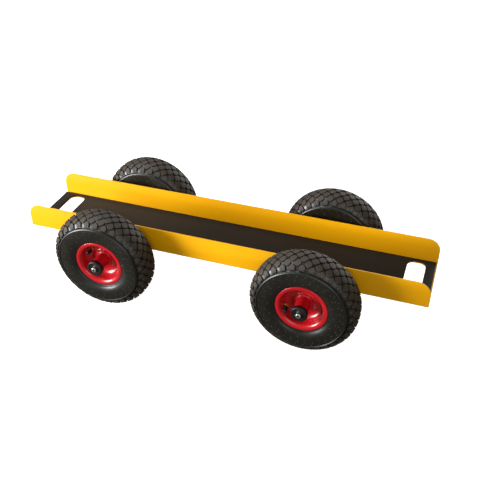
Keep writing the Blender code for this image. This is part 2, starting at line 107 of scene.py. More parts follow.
def new_verts(made: dict[str, list]) -> list[BMVert]:
    """Return the vertices among what an operator made."""
    return [item for item in made["geom"] if isinstance(item, BMVert)]


def turned(profile: Sequence[Point], steps: int, closed: bool = True) -> BMesh:
    """Spin a profile about the Y axis.

    Args:
        profile: (radius, y) points. A solid's first and last points are on the axis.
        steps: The number of steps round the axis.
        closed: True if the profile is a ring's section.

    Returns:
        A bmesh of the turned shape.
    """
    bm = bmesh.new()
    corners = [bm.verts.new((radius, y, 0)) for radius, y in profile]
    edges = [bm.edges.new(pair) for pair in zip(corners, corners[1:])]
    if closed:
        edges.append(bm.edges.new((corners[-1], corners[0])))
    bmesh.ops.spin(bm, geom=[*corners, *edges], cent=(0, 0, 0), axis=(0, 1, 0), dvec=(0, 0, 0),
                   angle=2 * math.pi, steps=steps, use_merge=True)
    bmesh.ops.remove_doubles(bm, verts=bm.verts, dist=MERGE)
    bmesh.ops.recalc_face_normals(bm, faces=bm.faces)
    return bm


def sharp_edges(bm: BMesh, angle: float) -> list[BMEdge]:
    """Return the edges whose two faces meet at more than an angle in degrees."""
    limit = math.radians(angle)
    return [edge for edge in bm.edges if len(edge.link_faces) == 2 and edge.calc_face_angle() > limit]


def soften(bm: BMesh, width: float, segments: int = 2, angle: float = 50.0) -> None:
    """Round a shape's sharp edges.

    Args:
        bm: The shape.
        width: How far the rounding reaches from an edge.
        segments: The rounding's number of steps.
        angle: Edges sharper than this many degrees are rounded.
    """
    bmesh.ops.bevel(bm, geom=sharp_edges(bm, angle), offset=width, offset_type="OFFSET",
                    segments=segments, profile=0.5, affect="EDGES", clamp_overlap=True, material=-1)


def finished(bm: BMesh, name: str, material: bpy.types.Material, shading: Shading,
             place: Matrix | None = None) -> bpy.types.Object:
    """Make a finished piece of a bmesh, with its place in its mesh.

    Args:
        bm: The shape, which is used up.
        name: The piece's name.
        material: Its finish.
        shading: How smooth it looks.
        place: Where it goes, if it isn't drawn in place.

    Returns:
        The piece's object, at the origin.
    """
    if place is not None:
        bmesh.ops.transform(bm, matrix=place, verts=bm.verts)
    mesh = bpy.data.meshes.new(name)
    bm.to_mesh(mesh)
    bm.free()
    mesh.shade_smooth()
    mesh.set_sharp_from_angle(angle=math.radians(shading.value))
    mesh.materials.append(material)
    piece = bpy.data.objects.new(name, mesh)
    bpy.context.scene.collection.objects.link(piece)
    return piece


def fit(piece: bpy.types.Object, body: str, slot: str, *nodes: str) -> bpy.types.Object:
    """Tie a piece to the frame.

    Args:
        piece: The finished piece.
        body: The CAD body that it moves with.
        slot: The record's material slot; not used.
        *nodes: The CAD nodes that it stands for.

    Returns:
        The piece.
    """
    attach(piece, body)
    if nodes:
        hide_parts(*nodes)
    LOG.info("%s rides on %s: %d faces", piece.name, body, len(piece.data.polygons))
    return piece


# ---- Finishes -------------------------------------------------------------------------


class Group:
    """A shader node group under construction, with its own inputs and outputs."""

    def __init__(self, name: str) -> None:
        """Start an empty group."""
        self.tree = bpy.data.node_groups.new(name, "ShaderNodeTree")
        self.inside = self.tree.nodes.new("NodeGroupInput")
        self.outside = self.tree.nodes.new("NodeGroupOutput")

    def takes(self, name: str, kind: str, value: float | None = None) -> bpy.types.NodeSocket:
        """Add an input.

        Args:
            name: The input's name.
            kind: Float, Vector or Color.
            value: Its default, on a float.

        Returns:
            The socket to read it from inside the group.
        """
        item = self.tree.interface.new_socket(name, in_out="INPUT", socket_type="NodeSocket" + kind)
        if value is not None:
            item.default_value = value
        return self.inside.outputs[name]

    def gives(self, name: str, kind: str, source: bpy.types.NodeSocket) -> None:
        """Add an output that is fed by a socket inside the group."""
        self.tree.interface.new_socket(name, in_out="OUTPUT", socket_type="NodeSocket" + kind)
        self.tree.links.new(source, self.outside.inputs[name])


@dataclass
class Graph:
    """A node tree, with short ways to add and join its nodes."""

    tree: bpy.types.NodeTree

    def node(self, kind: str, settings: dict | None = None, **inputs: object) -> bpy.types.Node:
        """Add a node.

        Args:
            kind: The node's type, without its ShaderNode prefix.
            settings: Values of the node's own properties.
            **inputs: A value or a socket for each input, by name, with _ for a space.

        Returns:
            The node.
        """
        made = self.tree.nodes.new("ShaderNode" + kind)
        for key, value in (settings or {}).items():
            setattr(made, key, value)
        for key, value in inputs.items():
            self.feed(made.inputs[key.replace("_", " ")], value)
        return made

    def feed(self, socket: bpy.types.NodeSocket, value: object) -> None:
        """Link a socket to an input, or set the input's own value."""
        if isinstance(value, bpy.types.NodeSocket):
            self.tree.links.new(value, socket)
        else:
            socket.default_value = value

    def math(self, operation: str, first: object, second: object = 0.5,
             clamp: bool = False) -> bpy.types.NodeSocket:
        """Add a Math node and return its result.

        Args:
            operation: The node's operation.
            first: Its first value or socket.
            second: Its second.
            clamp: True to keep the result between 0 and 1.

        Returns:
            The result's socket.
        """
        made = self.node("Math", {"operation": operation, "use_clamp": clamp})
        self.feed(made.inputs[0], first)
        self.feed(made.inputs[1], second)
        return made.outputs[0]

    def mix(self, share: object, first: object, second: object) -> bpy.types.NodeSocket:
        """Add a Mix node for colours and return its result."""
        made = self.node("Mix", {"data_type": "RGBA"})
        self.feed(made.inputs[0], share)
        self.feed(made.inputs[6], first)
        self.feed(made.inputs[7], second)
        return made.outputs[2]

    def span(self, value: object, low: object, high: object, out_low: float = 0.0,
             out_high: float = 1.0) -> bpy.types.NodeSocket:
        """Map a value smoothly from one range to another.

        Args:
            value: The value or socket to map.
            low: The start of its range.
            high: The end of its range.
            out_low: What the start becomes.
            out_high: What the end becomes.

        Returns:
            The mapped value's socket.
        """
        made = self.node("MapRange", {"interpolation_type": "SMOOTHSTEP"})
        for index, item in enumerate((value, low, high, out_low, out_high)):
            self.feed(made.inputs[index], item)
        return made.outputs[0]

    def group(self, name: str, **inputs: object) -> bpy.types.Node:
        """Place a shared node group and feed its inputs."""
        made = self.tree.nodes.new("ShaderNodeGroup")
        made.node_tree = bpy.data.node_groups[name]
        for key, value in inputs.items():
            self.feed(made.inputs[key.replace("_", " ")], value)
        return made


def build_grain_group() -> None:
    """Make the "grain" group: two sizes of noise as a height and a mask."""
    group = Group("grain")
    graph = Graph(group.tree)
    place = group.takes("Place", "Vector")
    size = group.takes("Scale", "Float", 600.0)
    rough = group.takes("Coarse Share", "Float", 0.4)
    fine = graph.node("TexNoise", Vector=place, Scale=size, Detail=3.0, Roughness=0.6)
    coarse = graph.node("TexNoise", Vector=place, Scale=graph.math("MULTIPLY", size, 0.17), Detail=2.0)
    weight = graph.math("MULTIPLY", coarse.outputs[0], rough)
    rest = graph.math("MULTIPLY", fine.outputs[0], graph.math("SUBTRACT", 1.0, rough))
    height = graph.math("ADD", weight, rest)
    group.gives("Height", "Float", height)
    group.gives("Mask", "Float", graph.span(height, 0.35, 0.65))


def build_cloud_group() -> None:
    """Make the "cloud" group: broad, soft patches for dust, handling marks and tone."""
    group = Group("cloud")
    graph = Graph(group.tree)
    place = group.takes("Place", "Vector")
    size = group.takes("Scale", "Float", 6.0)
    low = group.takes("Low", "Float", 0.4)
    high = group.takes("High", "Float", 0.7)
    noise = graph.node("TexNoise", Vector=place, Scale=size, Detail=5.0, Roughness=0.55)
    group.gives("Mask", "Float", graph.span(noise.outputs[0], low, high))


def build_scratch_group() -> None:
    """Make the "scratch" group: long thin marks along X, few and faint."""
    group = Group("scratch")
    graph = Graph(group.tree)
    place = group.takes("Place", "Vector")
    size = group.takes("Scale", "Float", 40.0)
    amount = group.takes("Amount", "Float", 0.5)
    stretched = graph.node("Mapping", Vector=place)
    stretched.inputs["Scale"].default_value = (0.06, 1.0, 1.0)
    stretched.inputs["Rotation"].default_value = (0.0, 0.05, 0.08)
    noise = graph.node("TexNoise", Vector=stretched.outputs[0], Scale=size, Detail=4.0, Distortion=0.3)
    line = graph.math("ABSOLUTE", graph.math("SUBTRACT", noise.outputs[0], 0.5))
    thin = graph.span(line, 0.0, 0.012, 1.0, 0.0)
    patch = graph.node("TexNoise", Vector=place, Scale=graph.math("MULTIPLY", size, 0.15), Detail=2.0)
    where = graph.span(patch.outputs[0], 0.5, 0.68)
    mark = graph.math("MULTIPLY", thin, where)
    group.gives("Mask", "Float", graph.math("MULTIPLY", mark, amount, clamp=True))


Colour = tuple[float, float, float]


@dataclass(frozen=True)
class Finish:
    """A finish that is one shader fed by grain, soft patches of tone and faint marks."""

    name: str
    colour: Colour
    tone: Colour
    roughness: float
    worn_roughness: float
    metallic: float = 0.0
    coat: float = 0.0
    coat_roughness: float = 0.1
    specular: float = 0.5
    grain_scale: float = 600.0
    grain_height: float = 0.05
    coarse_share: float = 0.4
    cloud_scale: float = 7.0
    tone_share: float = 0.5
    marks: float = 0.0
    marks_scale: float = 40.0
    cloud_low: float = 0.35
    cloud_high: float = 0.7
    cloud_wear: float = 0.6
    grain_wear: float = 0.25
    marks_share: float = 0.35
    marks_gain: float = 1.25
    marks_lift: float = 0.04

    def shader(self, material: bpy.types.Material) -> bpy.types.Node:
        """Set what is the same all over on the material's own shader, and return it."""
        shader = material.node_tree.nodes["Principled BSDF"]
        shader.inputs["Metallic"].default_value = self.metallic
        shader.inputs["Coat Weight"].default_value = self.coat
        shader.inputs["Coat Roughness"].default_value = self.coat_roughness
        shader.inputs["Specular IOR Level"].default_value = self.specular
        return shader

    def colour_source(self, graph: Graph, cloud: bpy.types.NodeSocket) -> bpy.types.NodeSocket:
        """Return the socket that gives the base colour."""
        share = graph.math("MULTIPLY", cloud, self.tone_share)
        return graph.mix(share, (*self.colour, 1.0), (*self.tone, 1.0))

    def height_source(self, graph: Graph, place: bpy.types.NodeSocket,
                      grain: bpy.types.NodeSocket) -> bpy.types.NodeSocket:
        """Return the socket that gives the surface's fine height."""
        return grain

    def roughness_source(self, graph: Graph, rough: bpy.types.NodeSocket) -> bpy.types.NodeSocket:
        """Return the socket that gives the roughness."""
        return rough

    def make(self) -> bpy.types.Material:
        """Build the material.

        Returns:
            The material, with its colour, roughness and fine relief from its nodes.
        """
        material = bpy.data.materials.new(self.name)
        material.use_nodes = True
        graph = Graph(material.node_tree)
        shader = self.shader(material)
        place = graph.node("TexCoord").outputs["Object"]
        cloud = graph.group("cloud", Place=place, Scale=self.cloud_scale, Low=self.cloud_low,
                            High=self.cloud_high)
        grain = graph.group("grain", Place=place, Scale=self.grain_scale, Coarse_Share=self.coarse_share)
        colour = self.colour_source(graph, cloud.outputs["Mask"])
        wear = graph.math("MULTIPLY", cloud.outputs["Mask"], self.cloud_wear)
        if self.marks > 0:
            scratch = graph.group("scratch", Place=place, Scale=self.marks_scale, Amount=self.marks)
            wear = graph.math("ADD", wear, scratch.outputs["Mask"], clamp=True)
            lighter = tuple(min(1.0, channel * self.marks_gain + self.marks_lift) for channel in self.colour)
            faint = graph.math("MULTIPLY", scratch.outputs["Mask"], self.marks_share)
            colour = graph.mix(faint, colour, (*lighter, 1.0))
        rubbed = graph.math("MULTIPLY", grain.outputs["Mask"], self.grain_wear)
        wear = graph.math("ADD", wear, rubbed, clamp=True)
        spread = self.worn_roughness - self.roughness
        rough = graph.math("MULTIPLY_ADD", wear, spread)
        rough.node.inputs[2].default_value = self.roughness
        bump = graph.node("Bump", Strength=1.0, Distance=self.grain_height * MM,
                          Height=self.height_source(graph, place, grain.outputs["Height"]))
        graph.feed(shader.inputs["Base Color"], colour)
        graph.feed(shader.inputs["Roughness"], self.roughness_source(graph, rough))
        graph.feed(shader.inputs["Normal"], bump.outputs[0])
        return material


@dataclass(frozen=True)
class TyreFinish(Finish):
    """Moulded rubber: a dusty brown tread with painted shade in its grooves, and darker and smoother
    sidewalls.
    """

    tread_colour: Colour = (0.031, 0.0225, 0.0148)
    tread_roughness: float = 0.66
    tread_edge: float = 33.0 * MM
    sidewall_edge: float = 46.0 * MM
    # Painted shade: the groove floors and walls darken towards this colour with depth
    groove_shade_colour: Colour = (0.004, 0.0032, 0.0025)
    groove_attribute: str = "depth"
    groove_fade: float = 6.0 * MM
    matt_start: float = 1.0 * MM
    matt_end: float = 2.0 * MM
    dust_share: float = 0.6
    dust_tone: float = 0.7

    def tread_share(self, graph: Graph, start: float, end: float) -> bpy.types.NodeSocket:
        """Return 1 on the tread and 0 on the sidewall, changing between two distances."""
        section = graph.node("UVMap", {"uv_map": "section"})
        parts = graph.node("SeparateXYZ", Vector=section.outputs[0])
        return graph.span(graph.math("ABSOLUTE", parts.outputs[1]), start, end, 1.0, 0.0)

    def groove_share(self, graph: Graph) -> bpy.types.NodeSocket:
        """Return 1 on the groove floors and 0 on the block tops."""
        return graph.node("Attribute", {"attribute_name": self.groove_attribute}).outputs["Fac"]

    def colour_source(self, graph: Graph, cloud: bpy.types.NodeSocket) -> bpy.types.NodeSocket:
        """Blend sidewall and tread colours by the section map, and paint shade into the grooves by their
        depth.
        """
        sidewall = super().colour_source(graph, cloud)
        dusty = graph.mix(graph.math("MULTIPLY", cloud, self.dust_share), (*self.tread_colour, 1.0),
                          (*[self.dust_tone * channel for channel in self.tread_colour], 1.0))
        body = graph.mix(self.tread_share(graph, self.tread_edge, self.sidewall_edge), sidewall, dusty)
        inner = self.tread_share(graph, self.tread_edge, self.sidewall_edge - self.groove_fade)
        # Painted shade in the grooves, kept to the tread
        groove_shade = graph.math("MULTIPLY", self.groove_share(graph), inner)
        return graph.mix(groove_shade, body, (*self.groove_shade_colour, 1.0))

    def roughness_source(self, graph: Graph, rough: bpy.types.NodeSocket) -> bpy.types.NodeSocket:
        """Make the block tops matt with wear, and leave the gaps between the lugs smooth."""
        tread = self.tread_share(graph, self.sidewall_edge - self.matt_start,
                                 self.sidewall_edge + self.matt_end)
        tops = graph.math("SUBTRACT", 1.0, self.groove_share(graph))
        matt = graph.math("MULTIPLY", tread, tops)
        extra = graph.math("SUBTRACT", self.tread_roughness, rough)
        added = graph.math("MULTIPLY_ADD", matt, extra)
        graph.feed(added.node.inputs[2], rough)
        return added


@dataclass(frozen=True)
class TurnedFinish(Finish):
    """Turned or drawn metal, with fine tool lines across the axle's direction."""

    line_scale: float = 900.0
    line_stretch: float = 0.02

    def height_source(self, graph: Graph, place: bpy.types.NodeSocket,
                      grain: bpy.types.NodeSocket) -> bpy.types.NodeSocket:
        """Add the tool lines, which are bands of noise along Y, to the grain."""
        squeezed = graph.node("Mapping", Vector=place)
        squeezed.inputs["Scale"].default_value = (self.line_stretch, 1.0, self.line_stretch)
        lines = graph.node("TexNoise", Vector=squeezed.outputs[0], Scale=self.line_scale, Detail=2.0)
        return graph.math("ADD", grain, lines.outputs[0])


FINISHES: dict[str, Finish] = {
    "yellow_coat": Finish(
        "yellow_powder_coat", colour=(0.75, 0.365, 0.001), tone=(0.69, 0.32, 0.001), roughness=0.38,
        worn_roughness=0.5, coat=0.05, coat_roughness=0.25, specular=0.2, grain_scale=420.0,
        grain_height=0.035, coarse_share=0.55, cloud_scale=3.0, tone_share=0.4, marks=0.4,
        marks_scale=30.0,
    ),
    "weld_coat": Finish(
        "yellow_coat_over_weld", colour=(0.74, 0.38, 0.003), tone=(0.6, 0.3, 0.004), roughness=0.38,
        worn_roughness=0.55, coat=0.1, coat_roughness=0.3, grain_scale=900.0, grain_height=0.12,
        coarse_share=0.5, cloud_scale=40.0, tone_share=0.6,
    ),
    "mat_rubber": Finish(
        "black_mat_rubber", colour=(0.0098, 0.0082, 0.006), tone=(0.016, 0.0138, 0.0105), roughness=0.62,
        worn_roughness=0.85, specular=0.25, grain_scale=1500.0, grain_height=0.2, coarse_share=0.3,
        cloud_scale=5.0, tone_share=0.5, marks=0.5, marks_scale=22.0,
    ),
    "tyre_rubber": TyreFinish(
        "moulded_tyre_rubber", colour=(0.0048, 0.0054, 0.0038), tone=(0.0085, 0.009, 0.007),
        roughness=0.3, worn_roughness=0.46, specular=0.5, grain_scale=1100.0, grain_height=0.07,
        coarse_share=0.35, cloud_scale=14.0, tone_share=0.55,
    ),
    # The pips are painted pale: a painted highlight for their glints on the dark sidewall
    "pip_rubber": Finish(
        "pip_rubber_painted_glints", colour=(0.19, 0.18, 0.155), tone=(0.02, 0.02, 0.017), roughness=0.4,
        worn_roughness=0.6, grain_scale=1200.0, grain_height=0.03, cloud_scale=120.0,
    ),
    "tube_rubber": Finish(
        "butyl_tube_rubber", colour=(0.018, 0.018, 0.018), tone=(0.03, 0.03, 0.03), roughness=0.5,
        worn_roughness=0.7, grain_scale=1200.0, grain_height=0.03,
    ),
    "red_coat": Finish(
        "red_rim_enamel", colour=(0.42, 0.004, 0.01), tone=(0.34, 0.003, 0.008), roughness=0.26,
        worn_roughness=0.36, coat=0.35, coat_roughness=0.1, specular=0.4, grain_scale=260.0,
        grain_height=0.02, coarse_share=0.7, cloud_scale=12.0, tone_share=0.4, marks=0.15,
        marks_scale=60.0,
    ),
    "bright_steel": TurnedFinish(
        "drawn_steel", colour=(0.55, 0.54, 0.52), tone=(0.42, 0.41, 0.39), roughness=0.28,
        worn_roughness=0.5, metallic=1.0, grain_scale=700.0, grain_height=0.02, cloud_scale=18.0,
    ),
    "zinc_steel": TurnedFinish(
        "bright_zinc_plate", colour=(0.78, 0.78, 0.76), tone=(0.66, 0.66, 0.62), roughness=0.24,
        worn_roughness=0.4, metallic=1.0, grain_scale=900.0, grain_height=0.01, cloud_scale=90.0,
    ),
    "brass": TurnedFinish(
        "turned_brass", colour=(0.72, 0.45, 0.16), tone=(0.45, 0.26, 0.09), roughness=0.24,
        worn_roughness=0.42, metallic=1.0, grain_scale=900.0, grain_height=0.012, cloud_scale=80.0,
    ),
    "black_plastic": Finish(
        "glossy_black_plastic", colour=(0.006, 0.006, 0.006), tone=(0.012, 0.012, 0.011),
        roughness=0.32, worn_roughness=0.45, specular=0.3, grain_scale=1400.0, grain_height=0.012,
        coarse_share=0.3, cloud_scale=60.0, tone_share=0.4,
    ),
    "seal_plastic": Finish(
        "grey_seal_plastic", colour=(0.09, 0.09, 0.1), tone=(0.06, 0.06, 0.065), roughness=0.45,
        worn_roughness=0.6, grain_scale=1200.0, grain_height=0.02, cloud_scale=60.0,
    ),
}


class Palette:
    """The finishes' materials, each made once."""

    def __init__(self) -> None:
        """Build the shared node groups and start with no materials."""
        build_grain_group()
        build_cloud_group()
        build_scratch_group()
        self.made: dict[str, bpy.types.Material] = {}

    def __getitem__(self, name: str) -> bpy.types.Material:
        """Return a finish's material."""
        if name not in self.made:
            self.made[name] = FINISHES[name].make()
        return self.made[name]


# ---- Channel, mat and axles ---------------------------------------------------------------


@dataclass
class HandSlots:
    """The two hand slots that go through the deck and the mat."""

    width: float = 44.0 * MM
    radius: float = 16.0 * MM
    from_end: float = 25.5 * MM
    from_flange: float = 13.0 * MM
    corner_steps: int = 10

    def cut_into(self, bm: BMesh, half_length: float, inner_y: float, height: float) -> None:
        """Add both slots' outlines to a bmesh, ready for its faces to be filled.

        Args:
            bm: The plate's bmesh, so far only outlines.
            half_length: Half the channel's length.
            inner_y: The distance from the middle to a flange's inner face.
            height: The height of the plate's face.
        """
        for side in (-1, 1):
            centre = side * (half_length - self.from_end - self.width / 2)
            half_y = inner_y - self.from_flange
            corners = [(centre - self.width / 2, -half_y), (centre + self.width / 2, -half_y),
                       (centre + self.width / 2, half_y), (centre - self.width / 2, half_y)]
            verts = [bm.verts.new((x, y, height)) for x, y in corners]
            bm.faces.new(verts)
            bmesh.ops.bevel(bm, geom=verts, offset=self.radius, offset_type="OFFSET",
                            segments=self.corner_steps, profile=0.5, affect="VERTICES", material=-1)
            bmesh.ops.delete(bm, geom=bm.faces[:], context="FACES_ONLY")


def fill_plate(bm: BMesh, low: Point, high: Point, height: float) -> list[BMEdge]:
    """Add a rectangle round the outlines in a bmesh and fill what lies between them.

    Args:
        bm: The bmesh, which holds only the slots' outlines.
        low: The rectangle's corner with the lowest x and y.
        high: Its corner with the highest x and y.
        height: The height of the plate's face.

    Returns:
        The rectangle's four edges, the first one along the low y side.
    """
    corners = ((low[0], low[1]), (high[0], low[1]), (high[0], high[1]), (low[0], high[1]))
    verts = [bm.verts.new((x, y, height)) for x, y in corners]
    sides = [bm.edges.new((verts[index], verts[(index + 1) % 4])) for index in range(4)]
    bmesh.ops.triangle_fill(bm, use_beauty=True, use_dissolve=False, edges=bm.edges, normal=(0, 0, 1))
    for face in bm.faces:
        if face.normal.z < 0:
            face.normal_flip()
    return sides


@dataclass
class Channel:
    """The folded sheet: a deck, two folds and two upright flanges."""

    palette: Palette
    slots: HandSlots
    sheet: float = 3.0 * MM
    bend_radius: float = 3.0 * MM
    corner_radius: float = 31.0 * MM
    bend_steps: int = 8
    corner_steps: int = 18
    edge_round: float = 0.45 * MM
    low: Vector = field(default_factory=lambda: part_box("channel")[0])
    high: Vector = field(default_factory=lambda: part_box("channel")[1])

    @property
    def inner_y(self) -> float:
        """The distance from the middle to a flange's inner face."""
        return self.high.y - self.sheet

    @property
    def deck_top(self) -> float:
        """The height of the deck's upper face."""
        return self.low.z + self.sheet

    def fold(self, bm: BMesh, edge: BMEdge, side: int) -> list[BMEdge]:
        """Spin one long edge of the deck up round its fold and draw up the flange.

        Args:
            bm: The sheet's inner face.
            edge: The deck's long edge.
            side: 1 for the flange at high y, -1 for the other.

        Returns:
            The flange's top edge, in a list.
        """
        centre = (0, side * (self.inner_y - self.bend_radius), self.deck_top + self.bend_radius)
        made = bmesh.ops.spin(bm, geom=[*edge.verts, edge], cent=centre, axis=(1, 0, 0), dvec=(0, 0, 0),
                              angle=side * math.pi / 2, steps=self.bend_steps)
        last = [item for item in made["geom_last"] if isinstance(item, BMEdge)]
        raised = bmesh.ops.extrude_edge_only(bm, edges=last)
        rise = self.high.z - self.deck_top - self.bend_radius
        bmesh.ops.translate(bm, vec=(0, 0, rise), verts=new_verts(raised))
        return [item for item in raised["geom"] if isinstance(item, BMEdge)
                and all(abs(vert.co.z - self.high.z) < self.edge_round for vert in item.verts)]

    def round_corners(self, bm: BMesh) -> None:
        """Round the flanges' top corners."""
        corners = [vert for vert in bm.verts if abs(vert.co.z - self.high.z) < self.edge_round]
        bmesh.ops.bevel(bm, geom=corners, offset=self.corner_radius, offset_type="OFFSET",
                        segments=self.corner_steps, profile=0.5, affect="VERTICES", material=-1)

    def shape(self) -> BMesh:
        """Model the folded sheet.

        Returns:
            Its bmesh, with real thickness and softened edges.
        """
        bm = bmesh.new()
        self.slots.cut_into(bm, self.high.x, self.inner_y, self.deck_top)
        half_deck = self.inner_y - self.bend_radius
        sides = fill_plate(bm, (self.low.x, -half_deck), (self.high.x, half_deck), self.deck_top)
        self.fold(bm, sides[0], -1)
        self.fold(bm, sides[2], 1)
        self.round_corners(bm)
        bmesh.ops.recalc_face_normals(bm, faces=bm.faces)
        top = max(bm.faces, key=lambda face: face.calc_area() * abs(face.normal.z))
        if top.normal.z > 0:
            bmesh.ops.reverse_faces(bm, faces=bm.faces)
        bmesh.ops.solidify(bm, geom=bm.faces[:], thickness=-self.sheet)
        bmesh.ops.recalc_face_normals(bm, faces=bm.faces)
        soften(bm, self.edge_round, segments=2, angle=PLATE_CORNER)
        return bm

    def build(self) -> None:
        """Model and dress the channel."""
        piece = finished(self.shape(), "folded_channel", self.palette["yellow_coat"], Shading.PLATE)
        fit(piece, CHASSIS, "yellow_coat", "channel")


@dataclass
class Mat:
    """The rubber mat on the deck."""

    palette: Palette
    channel: Channel
    edge_round: float = 0.5 * MM

    def build(self) -> None:
        """Model and dress the mat."""
        low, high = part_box("mat")
        bm = bmesh.new()
        self.channel.slots.cut_into(bm, self.channel.high.x, self.channel.inner_y, high.z)
        fill_plate(bm, (low.x, low.y), (high.x, high.y), high.z)
        thickness = high.z - low.z
        lower = bmesh.ops.extrude_face_region(bm, geom=bm.faces[:])
        bmesh.ops.translate(bm, vec=(0, 0, -thickness), verts=new_verts(lower))
        bmesh.ops.recalc_face_normals(bm, faces=bm.faces)
        soften(bm, self.edge_round, segments=3, angle=PLATE_CORNER)
        piece = finished(bm, "rubber_mat", self.palette["mat_rubber"], Shading.PLATE)
        fit(piece, CHASSIS, "mat_rubber", "mat")


@dataclass
class WeldBead:
    """A fillet weld, laid as a row of overlapping ripples along X."""

    radius: float = 2.6 * MM
    ripple: float = 0.35 * MM
    pitch: float = 2.4 * MM
    sides: int = 12
    slices: int = 4
    fewest_slices: int = 8
    waver: float = 0.4
    waver_rate: float = 1.7
    end_share: float = 0.35

    def shape(self, length: float) -> BMesh:
        """Model a bead along X, centred on the origin.

        Args:
            length: Its length.

        Returns:
            Its bmesh.
        """
        bm = bmesh.new()
        upright = Matrix.Rotation(math.pi / 2, 4, "Y")
        bmesh.ops.create_cone(bm, cap_ends=True, segments=self.sides, radius1=self.radius,
                              radius2=self.radius, depth=length, matrix=upright)
        steps = max(self.fewest_slices, round(self.slices * length / self.pitch))
        for step in range(1, steps):
            x = -length / 2 + length * step / steps
            bmesh.ops.bisect_plane(bm, geom=everything(bm), plane_co=(x, 0, 0), plane_no=(1, 0, 0),
                                   dist=CUT)
        for vert in bm.verts:
            along = vert.co.x / self.pitch
            wave = abs(math.sin(math.pi * along + self.waver * math.sin(self.waver_rate * along)))
            end = min(1.0, self.end_share + (length / 2 - abs(vert.co.x)) / (2 * self.radius))
            factor = (1 - self.ripple / self.radius * wave) * end
            vert.co.y *= factor
            vert.co.z *= factor
        return bm


@dataclass
class AxleSet:
    """One axle with its saddles and welds."""

    palette: Palette
    side: str
    steps: int = 48
    radius: float = 10.0 * MM
    chamfer: float = 1.0 * MM
    tap_radius: float = 4.3 * MM
    tap_depth: float = 22.0 * MM
    saddle_round: float = 0.7 * MM
    saddle_ear: float = 6.0 * MM
    saddle_notch: float = 10.3 * MM
    notch_steps: int = 24
    weld_start: float = 12.0 * MM
    weld_short: float = 2.0 * MM
    weld_out: float = 0.3 * MM
    weld_down: float = 0.4 * MM
    ring_share: float = 0.75
    ring_radius: float = 10.2 * MM
    ring_start: float = 15.0
    ring_turn: float = 150.0
    ring_steps: int = 60
    ring_wave: float = 0.05
    ring_ripples: float = 11.0
    weld: WeldBead = field(default_factory=WeldBead)

    def place(self) -> Matrix:
        """Return the axle's place, from its CAD node."""
        low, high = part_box("axle_" + self.side)
        return Matrix.Translation((low + high) / 2)

    def build_axle(self) -> None:
        """Turn the axle, with a chamfer and a tapped hole at each end."""
        low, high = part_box("axle_" + self.side)
        end = (high.y - low.y) / 2
        floor = end - self.tap_depth
        half = [(0, floor), (self.tap_radius, floor), (self.tap_radius, end - self.chamfer),
                (self.tap_radius + self.chamfer, end), (self.radius - self.chamfer, end),
                (self.radius, end - self.chamfer)]
        profile = half + flipped(half)
        bm = turned(profile, self.steps, closed=False)
        piece = finished(bm, "axle_rod_" + self.side, self.palette["bright_steel"], Shading.PLATE,
                         self.place())
        fit(piece, CHASSIS, "bright_steel", "axle_" + self.side)

    def build_saddle(self, end: str) -> None:
        """Cut, soften and weld on one notched saddle plate.

        Args:
            end: front or rear.
        """
        node = "axle_saddle_" + end + "_" + self.side
        low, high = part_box(node)
        axle = self.place().translation
        half, thick = (high.x - low.x) / 2, high.y - low.y
        top, bottom = high.z - axle.z, low.z - axle.z
        ear, notch = self.saddle_ear, self.saddle_notch
        outline = [(-half, top), (-half, top - ear), (-notch - ear, bottom), (notch + ear, bottom),
                   (half, top - ear), (half, top), (notch, top)]
        outline += arc((0, 0), notch, 0, -180, self.notch_steps) + [(-notch, top)]
        bm = bmesh.new()
        face = bm.faces.new([bm.verts.new((x, -thick / 2, z)) for x, z in outline])
        made = bmesh.ops.extrude_face_region(bm, geom=[face])
        bmesh.ops.translate(bm, vec=(0, thick, 0), verts=new_verts(made))
        bmesh.ops.recalc_face_normals(bm, faces=bm.faces)
        bmesh.ops.remove_doubles(bm, verts=bm.verts, dist=MERGE)
        soften(bm, self.saddle_round, segments=2)
        place = Matrix.Translation((axle.x, (low.y + high.y) / 2, axle.z))
        piece = finished(bm, "saddle_plate_" + end + "_" + self.side, self.palette["yellow_coat"],
                         Shading.PLATE, place)
        fit(piece, CHASSIS, "yellow_coat", node)
        self.build_welds(end, low, high)

    def build_welds(self, end: str, low: Vector, high: Vector) -> None:
        """Lay the beads that join a saddle to the deck and to the axle.

        Args:
            end: front or rear.
            low: The saddle's lowest corner.
            high: Its highest corner.
        """
        ear = (high.x - low.x) / 2 - self.weld_start
        whole = bmesh.new()
        for side_y, y in ((-1, low.y), (1, high.y)):
            for side_x in (-1, 1):
                bead = self.weld.shape(ear - self.weld_short)
                x = (low.x + high.x) / 2 + side_x * (self.weld_start + ear / 2)
                spot = (x, y + side_y * self.weld_out, high.z - self.weld_down)
                self.join(whole, bead, Matrix.Translation(spot))
            axle = self.place().translation
            self.join(whole, self.ring_weld(), Matrix.Translation((axle.x, y, axle.z)))
        piece = finished(whole, "saddle_welds_" + end + "_" + self.side, self.palette["weld_coat"],
                         Shading.ROUND)
        fit(piece, CHASSIS, "yellow_coat")

    def ring_weld(self) -> BMesh:
        """Return the bead round the axle, which leaves out the side against the deck."""
        bead = self.weld
        bm = bmesh.new()
        circle = bmesh.ops.create_circle(bm, segments=bead.sides,
                                         radius=self.ring_share * bead.radius)["verts"]
        bmesh.ops.translate(bm, vec=(self.ring_radius, 0, 0), verts=circle)
        start = Matrix.Rotation(math.radians(self.ring_start), 4, "Y")
        bmesh.ops.transform(bm, matrix=start, verts=circle)
        bmesh.ops.spin(bm, geom=everything(bm), cent=(0, 0, 0), axis=(0, 1, 0), dvec=(0, 0, 0),
                       angle=math.radians(self.ring_turn), steps=self.ring_steps)
        bmesh.ops.holes_fill(bm, edges=[edge for edge in bm.edges if edge.is_boundary], sides=0)
        for vert in bm.verts:
            angle = math.atan2(vert.co.z, vert.co.x)
            wave = 1 - self.ring_wave * abs(math.sin(angle * self.ring_ripples))
            vert.co.x *= wave
            vert.co.z *= wave
        bmesh.ops.recalc_face_normals(bm, faces=bm.faces)
        return bm

